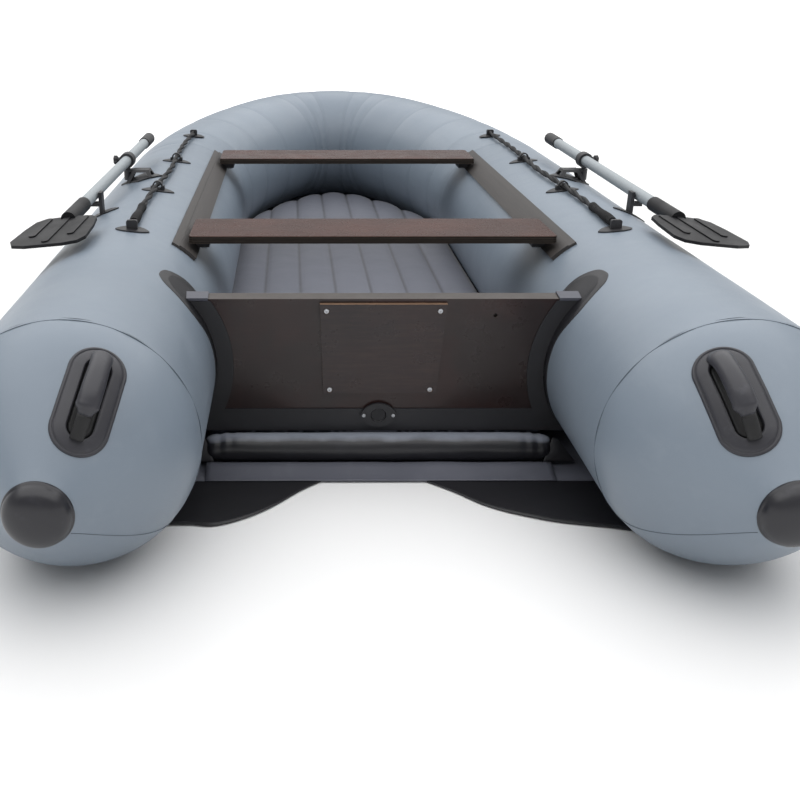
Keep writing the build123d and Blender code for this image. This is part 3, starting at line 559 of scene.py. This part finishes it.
def makeCap(side):
    # a moulded dome with a rolled rim
    base = hull["seamY"] - hull["coneLength"]
    r = hull["capRadius"]
    profile = [(r - 0.003, 0.002), (r + 0.0006, 0.001), (r + 0.0016, -0.002), (r + 0.0010, -0.005),
               (r - 0.0008, -0.0068), (r - 0.0016, -0.0082)]
    for k in range(1, 11):
        a = pi / 2 * k / 10
        rise = -0.0082 - (hull["capHeight"] - 0.0082) * sin(a)
        profile.append(((r - 0.0016) * cos(a) ** 0.9 + 0.0001, rise))
    rows = []
    middle = Vector((side * hull["axisX"], base, hull["radius"]))
    turns = [2 * pi * j / 64 for j in range(64)]
    for radius, y in profile:
        rows.append([middle + Vector((radius * sin(a), y, radius * cos(a))) for a in turns])
    return rows


seamShape = {"lean": 0.022, "tape": 0.0004}


def makeSeams():
    for side, name in ((1, "stbd"), (-1, "port")):
        ring = []
        for j in range(121):
            a = 2 * pi * j / 120
            back = seamShape["lean"] * (1 + sin(a)) / 2
            t = back / hull["coneLength"]
            ring.append(onCone(t, a, 0.0003, side))
        # the cone seam and gore seam beads take the darker seam look, a real seam with painted shadow
        bead("cone_seam_" + name, ring, 0.0008, "seam")
        lower = [onCone(0.02 + 0.96 * k / 40, radians(-130), 0.0002, side) for k in range(41)]
        bead("cone_lower_seam_" + name, lower, 0.0007, "seam")
    for k, s in enumerate(seams):
        for side, name in ((1, "stbd"), (-1, "port")):
            rows = []
            for j in range(97):
                a = 2 * pi * j / 96
                row = []
                for step, lift in ((-0.0135, 0.1), (-0.012, 0.9), (0, 1), (0.012, 0.9), (0.0135, 0.1)):
                    row.append(onTube(s + step, a, tubeLift(s + step, a) + lift * seamShape["tape"], side))
                rows.append(row)
            tape = loft("bow_seam_%d_%s" % (k, name), rows, "tape", closed=False)


makeTubes()
makeCone(1, "stbd")
makeCone(-1, "port")
for side, name in ((1, "stbd"), (-1, "port")):
    cap = loft("cone_cap_" + name, makeCap(side), "cap", ends=True)
    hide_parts("cone_caps")
makeSeams()
print("hull tubes done")


# rub strake
strakeShape = {"halfAngle": radians(8), "thick": 0.007, "start": 0.040}


def makeStrake():
    rim = strakeShape["halfAngle"]
    t = strakeShape["thick"]
    profile = [(-1, 0.0), (-1, 0.25), (-0.93, 0.55), (-0.80, 0.60), (-0.70, 0.60), (-0.62, 0.92),
               (-0.30, 1.0), (-0.26, 0.72), (-0.18, 0.72), (-0.14, 1.0), (0.14, 1.0), (0.18, 0.72),
               (0.26, 0.72), (0.30, 1.0), (0.62, 0.92), (0.70, 0.60), (0.80, 0.60), (0.93, 0.55),
               (1, 0.25), (1, 0.0)]
    start = strakeShape["start"]
    stops = [start + (wholeRun - start) * k / 110 for k in range(111)]
    half = [[onTube(s, pi / 2 + rim * u, t * h) for u, h in profile] for s in stops]
    other = [[Vector((-p.x, p.y, p.z)) for p in row] for row in reversed(half[:-1])]
    strake = loft("rub_strake_band", half + other, "strake", sharp=40)
    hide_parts("rub_strake")


makeStrake()


# patches on the tubes
leafShape = {
    "thick": 0.0016,
    "lip": 0.0006,
    # distance forward of the transom's top edge, and degrees round the tube
    "outline": [(0.034, -30.5), (0.072, -33), (0.098, -43), (0.098, -56), (0.085, -76), (0.064, -98),
                (0.036, -122), (0.008, -124), (-0.008, -100), (-0.018, -74), (-0.036, -60), (-0.037, -50),
                (-0.016, -37), (0.008, -32)],
}


def patchRows(outline, side):
    # rings from the outline to its middle; outline is (distance from the seam, angle) pairs
    n = len(outline)
    mid = (sum(p[0] for p in outline) / n, sum(p[1] for p in outline) / n)
    thick = leafShape["thick"]
    lip = 1.0 + leafShape["lip"] / thick
    steps = [(1.0, 0.0001), (0.995, 0.6), (0.975, 1.0), (0.885, 1.0), (0.872, lip), (0.845, lip),
             (0.832, 1.0), (0.6, 1.0), (0.35, 1.0), (0.12, 1.0), (0.001, 1.0)]
    rows = []
    for scale, high in steps:
        rows.append([onTube(mid[0] + (s - mid[0]) * scale, mid[1] + (a - mid[1]) * scale, thick * high, side)
                     for s, a in outline])
    return rows


def makeLeaf(side, name):
    y0 = -hull["seamY"] + sternY
    knots = [Vector((y0 + y, radians(a), 0)) for y, a in leafShape["outline"]]
    rows = patchRows([(p.x, p.y) for p in curveThrough(knots, 8, True)], side)
    patch = loft("leaf_patch_skin_" + name, rows, "dark", ends=False)
    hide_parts("leaf_patches")


makeLeaf(1, "stbd")
makeLeaf(-1, "port")


# floor
floorShape = {"top": 0.135, "crown": 0.013, "pitch": 0.110, "count": 7, "aft": 0.072, "inset": 0.215}


def floorFront(x):
    # how far forward the floor reaches at a place across it
    x = abs(x)
    innerNose = hull["noseRadius"] - floorShape["inset"]
    innerShoulder = hull["shoulderRadius"] - floorShape["inset"]
    if x < innerNose * cos(bowTurn):
        return noseCentreY + sqrt(innerNose ** 2 - x * x)
    across = x + hull["shoulderRadius"] - hull["axisX"]
    return hull["straightEnd"] + sqrt(max(0, innerShoulder ** 2 - across ** 2))


def makeFloor():
    edge = floorShape["pitch"] * floorShape["count"] / 2
    aft = sternY + floorShape["aft"]
    low = 0.008
    lines = 12 * floorShape["count"]
    xs = [-edge + 2 * edge * k / lines for k in range(lines + 1)]
    rows = []
    count = 90
    for i in range(count + 1):
        row = []
        for x in xs:
            front = floorFront(min(abs(x), 0.379))
            y = aft + (front - aft) * i / count
            across = (x + edge) / floorShape["pitch"] % 1
            gap = min(front - y, 0.045) / 0.045
            back = min(y - aft, 0.03) / 0.03
            rounding = sqrt(max(0, 1 - (1 - gap) ** 2)) * sqrt(max(0, 1 - (1 - back) ** 2))
            crown = sin(pi * across) ** 0.55 if 0 < across < 1 else 0
            pucker = 0.0008 * noise.noise(Vector((x * 9, y * 26, 3))) * (1 - crown)
            high = floorShape["top"] - floorShape["crown"] + floorShape["crown"] * crown + pucker
            row.append(Vector((x, y, low + (high - low) * rounding)))
        rows.append(row)
    under = [[Vector((p.x, p.y, low)) for p in reversed(row)] for row in rows]
    skin = loft("floor_skin", [top + bottom for top, bottom in zip(rows, under)], "floor")
    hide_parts("floor_pad")


makeFloor()
print("floor done")


# bottom cloth, stern roll and flaps
bottomShape = {
    "level": 0.0045,
    "aft": 0.095,       # how far aft of the transom's top edge it ends
    "half": 0.535,
    "touch": 0.075,     # where it meets the tube, inboard of the tube's centre
    "inner": 0.208,     # where the flat part ends at the bow
    "weld": 0.03,
    "thick": 0.0014,
    "wide": 1.07,
}


def makeBottom():
    level = bottomShape["level"]
    rows = []
    aft = sternY - bottomShape["aft"]
    across = 28
    for k in range(30):
        y = aft + (hull["straightEnd"] - aft) * k / 29
        row = [Vector((bottomShape["half"] * (1 - 2 * j / across), y, level)) for j in range(across + 1)]
        rows.append(row)
    steps = 26
    drop = sqrt(hull["radius"] ** 2 - bottomShape["touch"] ** 2)
    for k in range(1, steps + 1):
        s = straightRun + (shoulderRun + noseRun) * k / steps
        centre, out, up = pathAt(s)
        touch = centre - out * bottomShape["touch"] - up * (drop + 0.0022)
        inner = centre - out * bottomShape["inner"]
        inner = Vector((max(0, inner.x), inner.y, level))
        touch = Vector((max(0.0, touch.x), touch.y, max(touch.z, 0.003)))
        weld = centre - out * bottomShape["weld"] - up * (hull["radius"] - 0.006)
        weld.x = max(0.0, weld.x)
        row = [weld, touch]
        for j in range(across - 3):
            row.append(Vector((inner.x * (1 - 2 * j / (across - 4)), inner.y, level)))
        row += [Vector((-p.x, p.y, p.z)) for p in (touch, weld)]
        rows.append(row)
    sheet = cloth("bottom_cloth", rows, bottomShape["thick"], "under")
    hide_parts("bottom_sheet", "bow_bottom_panels")
    wide, long = bottomShape["wide"], rows[-1][0].y - aft + 0.1
    min(area(rows), wide * long)


flapShape = {
    "thick": 0.0012,
    "flat": (0.42, 0.25),
    # places across the boat and aft of the transom's top edge
    "stbd": [(0.100, -0.096), (0.152, -0.141), (0.206, -0.197), (0.262, -0.233), (0.343, -0.266),
             (0.447, -0.289), (0.490, -0.302), (0.520, -0.300)],
    "port": [(-0.130, -0.093), (-0.177, -0.136), (-0.236, -0.204), (-0.290, -0.250), (-0.350, -0.279),
             (-0.400, -0.275), (-0.462, -0.275), (-0.515, -0.268)],
}


def flapRows(outline, side):
    edge = curveThrough([Vector((x, sternY + y, 0)) for x, y in outline], 7)
    rows = []
    for k, far in enumerate(edge):
        near = Vector((side * (0.115 + 0.40 * k / (len(edge) - 1)), sternY - 0.062, 0))
        row = []
        for i in range(15):
            t = i / 14
            spot = near.lerp(far, t)
            ripple = 0.0016 * noise.noise(Vector((spot.x * 16, spot.y * 20, 2.5)))
            lift = 0.0022 * t * t * max(0.0, noise.noise(Vector((spot.x * 9, 0, 7))) + 0.3)
            spot.z = 0.0022 + abs(ripple) * 0.5 + lift
            row.append(spot)
        rows.append(row)
    return rows


def makeFlaps():
    for side, name in ((1, "stbd"), (-1, "port")):
        rows = flapRows(flapShape[name], side)
        flap = cloth("stern_flap_" + name, rows, flapShape["thick"], "dark")
        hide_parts("stern_flaps")
        stitch = [row[-2].lerp(row[-1], 0.35) + Vector((0, 0, 0.0008)) for row in rows]
        line = bead("flap_stitch_" + name, stitch, 0.0006, "plastic")
        min(area(rows), 0.105)


rollShape = {"half": 0.390, "radius": 0.0325, "y": 0.002, "z": 0.0400}


def makeRoll():
    rows = []
    steps = 120
    for k in range(steps + 1):
        x = rollShape["half"] * (2 * k / steps - 1)
        end = (rollShape["half"] - abs(x)) / 0.040
        slim = sqrt(max(0.0, 1 - (1 - min(1, end)) ** 3.5)) * 0.7 + 0.3
        tall = 0.60 + 0.40 * min(1, end) ** 0.6
        crease = exp(-(end - 0.9) ** 2 / 0.03) * 0.0036 + exp(-(end - 1.5) ** 2 / 0.04) * 0.0016
        row = []
        for j in range(40):
            a = 2 * pi * j / 40
            rough = 0.0009 * noise.noise(Vector((x * 14, cos(a) * 1.6, sin(a) * 1.6)))
            rough += 0.0018 * noise.noise(Vector((x * 60, cos(a) * 2, sin(a) * 2 + 5))) * exp(-end / 0.9)
            r = rollShape["radius"] + rough - crease * (0.6 + 0.4 * cos(a))
            back = sternY + rollShape["y"] + r * slim * sin(a)
            row.append(Vector((x, back, rollShape["z"] + r * tall * cos(a))))
        rows.append(row)
    roll = loft("stern_roll_skin", rows, "roll")
    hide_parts("stern_roll")


apronShape = {
    "half": 0.385,
    "thick": 0.0012,
    "sag": 0.0025,
    "flat": (0.77, 0.106),
    # from under the roll, aft and down: distance from the transom's top edge, and height
    "profile": [(-0.014, 0.0075), (-0.022, 0.0125), (-0.034, 0.0180), (-0.048, 0.0172), (-0.064, 0.0125),
                (-0.082, 0.0078), (-0.096, 0.0062)],
}
gussetShape = {"thick": 0.0012, "flat": (0.076, 0.062), "bulge": 0.004}


def makeApron():
    # the bottom cloth's doubled edge, rolled under the stern roll and down to the flat bottom
    rows = []
    wide, long = apronShape["flat"]
    for k in range(61):
        x = apronShape["half"] * (2 * k / 60 - 1)
        sag = apronShape["sag"] * noise.noise(Vector((x * 11, 4, 1)))
        rows.append([Vector((x, sternY + y, z + sag * (1 - abs(2 * i / 6 - 1))))
                     for i, (y, z) in enumerate(apronShape["profile"])])
    rows = [curveThrough(row, 3) for row in rows]
    apron = cloth("stern_apron", rows, apronShape["thick"], "under")
    min(area(rows), wide * long)


def makeGussets():
    # the small triangles between the roll's ends and the tubes
    wide, long = gussetShape["flat"]
    for side, name in ((1, "stbd"), (-1, "port")):
        rows = []
        for k in range(13):
            t = k / 12
            topSpot = Vector((side * (0.389 + 0.012 * t), sternY - 0.012, 0.070 - 0.004 * t))
            foot = Vector((side * (0.368 + 0.076 * t), sternY - 0.030 + 0.010 * t, 0.0165 - 0.004 * t))
            rows.append([topSpot.lerp(foot, i / 8)
                         + Vector((0, -gussetShape["bulge"] * sin(pi * i / 8) * sin(pi * t), 0))
                         for i in range(9)])
        gusset = cloth("stern_gusset_" + name, rows, gussetShape["thick"], "black")
        min(area(rows), wide * long)


makeBottom()
makeFlaps()
makeRoll()
makeApron()
makeGussets()
print("bottom and stern cloth done")


# carry handles on the cones
handleShape = {
    "start": 0.27,                 # along the cone, as a share of its length
    "end": 0.855,
    "startAngle": radians(-23),
    "endAngle": radians(-32),
    "wide": 0.098,
    # the pad's section: distance in from its edge, and height off the cone
    "section": [(0.0, 0.0003), (0.0003, 0.0034), (0.0015, 0.0048), (0.0035, 0.0052), (0.0048, 0.0046),
                (0.0056, 0.0034), (0.0062, 0.0034), (0.0070, 0.0050), (0.0090, 0.0062), (0.0130, 0.0074),
                (0.0180, 0.0086), (0.0215, 0.0096), (0.0245, 0.0102), (0.0262, 0.0098), (0.0270, 0.0080),
                (0.0276, 0.0034), (0.0330, 0.0026), (0.0455, 0.0026)],
    "wellShadeFrom": 15,                # the row of the section from which the well is painted near-black as painted shade
    # the grip's line: share of its reach, and height
    "arch": [(-1, 0.012), (-0.84, 0.031), (-0.42, 0.047), (0, 0.053), (0.30, 0.051), (0.62, 0.038),
             (1, 0.014)],
    "lipAt": 0.725,
    "neckFrom": 0.80,
}


def handleFrame(side):
    top = onCone(handleShape["start"], handleShape["startAngle"])
    foot = onCone(handleShape["end"], handleShape["endAngle"])
    longWay = (foot - top).normalized()
    middle = (top + foot) / 2
    out = middle - Vector((hull["axisX"], hull["seamY"], hull["radius"]))
    out = (out - longWay * out.dot(longWay)).normalized()
    across = longWay.cross(out)
    flip = Vector((side, 1, 1))
    return middle, longWay, out, across, (foot - top).length, flip


def ontoCone(spot, out, lift):
    # slides a point along a direction until it stands at a height off the cone
    low, high = -0.08, 0.12
    for _ in range(26):
        mid = (low + high) / 2
        p = spot + out * mid
        t = (hull["seamY"] - p.y) / hull["coneLength"]
        reach = sqrt((p.x - hull["axisX"]) ** 2 + (p.z - hull["radius"]) ** 2)
        surface = (coneRadius(max(0, t)) if t < 1 else hull["capRadius"]) + lift
        if reach > surface:
            high = mid
        else:
            low = mid
    return spot + out * low


def makeHandle(side, name):
    middle, longWay, out, across, length, flip = handleFrame(side)
    half, straight = handleShape["wide"] / 2, length / 2 - handleShape["wide"] / 2
    rows = []
    for inset, lift in handleShape["section"]:
        row = []
        for j in range(96):
            a = 2 * pi * j / 96
            r = half - inset
            u = r * cos(a) + (straight if cos(a) > 0 else -straight)
            if abs(cos(a)) < 1e-6:
                u = 0
            row.append(ontoCone(middle + longWay * u + across * (r * sin(a)), out, lift))
        rows.append([Vector((p.x * flip.x, p.y, p.z)) for p in row])
    wellShadeFrom = handleShape["wellShadeFrom"]
    # the well inside the pad's rim is painted near-black as painted shade
    well = loft("handle_well_" + name, rows[wellShadeFrom:], "well", ends=True)
    pad = loft("handle_pad_" + name, rows[:wellShadeFrom + 1], "handle", ends=False)
    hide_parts("carry_handle_" + name)
    reach = length / 2 - 0.024
    line = curveThrough([middle + longWay * (reach * u) + out * w for u, w in handleShape["arch"]], 7)
    rows = []
    for k, (spot, (ahead, _, _)) in enumerate(zip(line, frameAlong(line))):
        t = k / (len(line) - 1)
        up = (out - ahead * out.dot(ahead)).normalized()
        over = ahead.cross(up)
        full = 1 / (1 + exp((t - handleShape["lipAt"] - 0.04) / 0.012))
        lip = exp(-((t - handleShape["lipAt"]) / 0.022) ** 2)
        fat = 0.0115 + 0.0072 * full + 0.0010 * lip - 0.0012 * exp(-((t - 0.30) / 0.12) ** 2)
        thin = 0.0074 + 0.0056 * full + 0.0014 * lip
        turns = [2 * pi * j / 28 for j in range(28)]
        ring = [spot + over * (fat * cos(a)) + up * (thin * sin(a)) for a in turns]
        rows.append([Vector((p.x * flip.x, p.y, p.z)) for p in ring])
    # the grip's lower neck takes the same near-black look as painted shade
    lipRow = round(handleShape["neckFrom"] * (len(rows) - 1))
    grip = loft("handle_grip_" + name, rows[:lipRow + 1], "handle")
    neck = loft("handle_neck_" + name, rows[lipRow:], "well")


makeHandle(1, "stbd")
makeHandle(-1, "port")
print("carry handles done")


# lifelines: two strands laid together, whipped near the stern
ropeShape = {
    "radius": 0.008,
    "x": 0.570,
    "patch": 0.003,
    "rest": 0.0012,
    "strand": 0.0046,
    "pitch": 0.19,
    "lashFrom": 0.020,   # along the rope, from its stern end
    "lashRun": 0.175,
    "lashTurns": 26,
}
patchRadius = hull["radius"] + ropeShape["patch"]
ropeZ = hull["radius"] + sqrt(patchRadius ** 2 - (hull["axisX"] - ropeShape["x"]) ** 2)
ropeZ += ropeShape["radius"] + ropeShape["rest"]
ropeRoute = [
    (0.570, sternY + 0.2956, ropeZ),
    (0.571, sternY + 0.390, ropeZ + 0.001),
    (0.575, sternY + 0.520, ropeZ - 0.001),
    (0.574, sternY + 0.690, ropeZ),
    (0.569, sternY + 0.850, ropeZ + 0.0005),
    (0.562, sternY + 1.030, ropeZ - 0.0005),
    (0.568, sternY + 1.200, ropeZ),
    (0.572, sternY + 1.330, ropeZ + 0.0005),
    (0.575, sternY + 1.500, ropeZ - 0.0005),
    (0.571, sternY + 1.650, ropeZ + 0.0005),
    (0.563, sternY + 1.7844, ropeZ + 0.004),
]


def splinePoints(route, name):
    # the points of the route's NURBS line
    curve = bpy.data.curves.new(name, "CURVE")
    curve.dimensions = "3D"
    curve.resolution_u = 24
    spline = curve.splines.new("NURBS")
    spline.points.add(len(route) - 1)
    for point, spot in zip(spline.points, route):
        point.co = (*spot, 1)
    spline.order_u = 3
    spline.use_endpoint_u = True
    holder = bpy.data.objects.new(name, curve)
    bpy.context.scene.collection.objects.link(holder)
    bpy.context.view_layer.update()
    mesh = bpy.data.meshes.new_from_object(holder)
    points = [v.co.copy() for v in mesh.vertices]
    bpy.data.objects.remove(holder)
    bpy.data.meshes.remove(mesh)
    return points


def runLengths(points):
    total = [0.0]
    for a, b in zip(points, points[1:]):
        total.append(total[-1] + (b - a).length)
    return total


def spotAt(points, runs, s):
    s = max(0.0, min(runs[-1], s))
    for k in range(len(points) - 1):
        if runs[k + 1] >= s:
            return points[k].lerp(points[k + 1], (s - runs[k]) / max(1e-9, runs[k + 1] - runs[k]))
    return points[-1].copy()


def makeLifeline(side, name):
    line = splinePoints([(side * x, y, z) for x, y, z in ropeRoute], "lifeline_route_" + name)
    runs = runLengths(line)
    whole = runs[-1]
    count = 360
    even = [spotAt(line, runs, whole * k / count) for k in range(count + 1)]
    frames = frameAlong(even)
    strands = []
    for phase in (0, pi):
        path = []
        for k, (spot, (_, one, two)) in enumerate(zip(even, frames)):
            a = phase + 2 * pi * (whole * k / count) / ropeShape["pitch"]
            reach = ropeShape["radius"] - ropeShape["strand"]
            path.append(spot + (one * cos(a) + two * sin(a)) * reach)
        rows = roundRows(path, ropeShape["strand"], 10)
        for k, row in enumerate(rows):
            centre = path[k]
            for j in range(len(row)):
                braid = 1 + 0.07 * sin(k * 2.1 + j * 2 * pi / 5) * sin(k * 2.1 - j * 2 * pi / 5)
                row[j] = centre + (row[j] - centre) * braid
        strands.append(rows)
    rope = joined("lifeline_rope_" + name, strands, "rope")
    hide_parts("lifeline_" + name)
    per = 14
    steps = ropeShape["lashTurns"] * per
    lash = []
    for k in range(steps + 1):
        t = k / steps
        s = ropeShape["lashFrom"] + ropeShape["lashRun"] * t
        i = min(count, int(s / whole * count))
        spot = spotAt(line, runs, s)
        _, one, two = frames[i]
        a = 2 * pi * k / per
        lash.append(spot + (one * cos(a) + two * sin(a)) * (0.0088 + 0.0012 * sin(7 * t)))
    wrap = joined("lifeline_lashing_" + name, [roundRows(lash, 0.0023, 7)], "rope")
    return whole


ropeLength = makeLifeline(1, "stbd")
makeLifeline(-1, "port")
print("lifelines done, each", round(ropeLength, 3), "m")


# CAD nodes that keep their shape
keeps = {
    "board": ["transom_board"],
    "pad": ["motor_pad"],
    "bench": ["bench_aft", "bench_fwd"],
    "black": ["edge_holders", "bottom_strip"],
    "tape": ["chamber_baffles"],
    "corner": ["corner_caps"],
    "rail": ["bench_rails"],
    "steel": ["pad_screws", "drain_screws", "bench_bolts_aft", "bench_bolts_fwd", "tow_ring"],
    "alloy": ["oar_shaft_inner_stbd", "oar_shaft_inner_port", "oar_shaft_outer_stbd", "oar_shaft_outer_port",
              "oar_spigot_stbd", "oar_spigot_port"],
    "plastic": ["bench_sliders_aft", "bench_sliders_fwd",
                "drain_flange", "lifeline_guides", "lifeline_eyes", "rowlock_brackets", "oar_clips",
                "rowlock_collar_stbd", "rowlock_collar_port", "rowlock_knob_stbd", "rowlock_knob_port",
                "valve_bodies", "valve_cap_stbd", "valve_cap_port", "tow_patch", "oar_grip_stbd",
                "oar_grip_port"],
    "rubber": ["drain_flap", "bow_handle"],
    "blade": ["oar_blade_stbd", "oar_blade_port"],
}
for look, names in keeps.items():
    for name in names:
        mesh = nodes[name].data
        mesh.materials.clear()
        mesh.materials.append(looks[look])
print("kept nodes painted")


# floor, lights and camera
def makeStage():
    size, low = 90, -0.0006
    mesh = bpy.data.meshes.new("studio_floor")
    edge = [(x * size, y * size, low) for x, y in ((-1, -1), (1, -1), (1, 1), (-1, 1))]
    mesh.from_pydata(edge, [], [(0, 1, 2, 3)])
    floor = bpy.data.objects.new("studio_floor", mesh)
    bpy.context.scene.collection.objects.link(floor)
    mesh.materials.append(paleFloor("studioFloor"))


studio = {"sky": [(0.10, 1.0), (0.22, 0.30)], "top": 1650, "stern": 3.5}


def areaLight(name, spot, aim, size, power):
    light = bpy.data.lights.new(name, "AREA")
    light.shape = "RECTANGLE"
    light.size, light.size_y = size
    light.energy = power
    lamp = bpy.data.objects.new(name, light)
    lamp.location = spot
    lamp.rotation_euler = (Vector(aim) - Vector(spot)).to_track_quat("-Z", "Y").to_euler()
    bpy.context.scene.collection.objects.link(lamp)


def makeLights():
    world = bpy.data.worlds.new("studio")
    bpy.context.scene.world = world
    world.use_nodes = True
    tree = world.node_tree
    back = tree.nodes["Background"]
    place = tree.nodes.new("ShaderNodeTexCoord")
    parts = tree.nodes.new("ShaderNodeSeparateXYZ")
    ramp = tree.nodes.new("ShaderNodeValToRGB")
    for element, (spot, level) in zip(ramp.color_ramp.elements, studio["sky"]):
        element.position = spot
        element.color = (level, level, level, 1)
    tree.links.new(place.outputs["Generated"], parts.inputs[0])
    tree.links.new(parts.outputs["Z"], ramp.inputs["Fac"])
    tree.links.new(ramp.outputs["Color"], back.inputs["Color"])
    areaLight("top_box", (0.0, 3.5, 6.0), (0, 3.5, 0), (16.0, 20.0), studio["top"])
    areaLight("stern_box", (-0.6, -4.6, 2.2), (0, -1.0, 0.2), (3.0, 1.6), studio["stern"])


view = {"sensor": 36, "lens": 42.77, "shift": 0.1349, "x": -0.1989, "aft": 1.9268, "z": 0.9950,
        "down": 23.526, "turn": -0.00255}


def makeCamera():
    camera = bpy.data.cameras.new("camera")
    camera.sensor_width = view["sensor"]
    camera.lens = view["lens"]
    camera.shift_x = view["shift"]
    eye = bpy.data.objects.new("camera", camera)
    eye.location = (view["x"], sternY - view["aft"], view["z"])
    eye.rotation_euler = (radians(90 - view["down"]), 0, view["turn"])
    bpy.context.scene.collection.objects.link(eye)
    bpy.context.scene.camera = eye


makeStage()
makeLights()
makeCamera()
bpy.context.scene.view_settings.view_transform = "Standard"
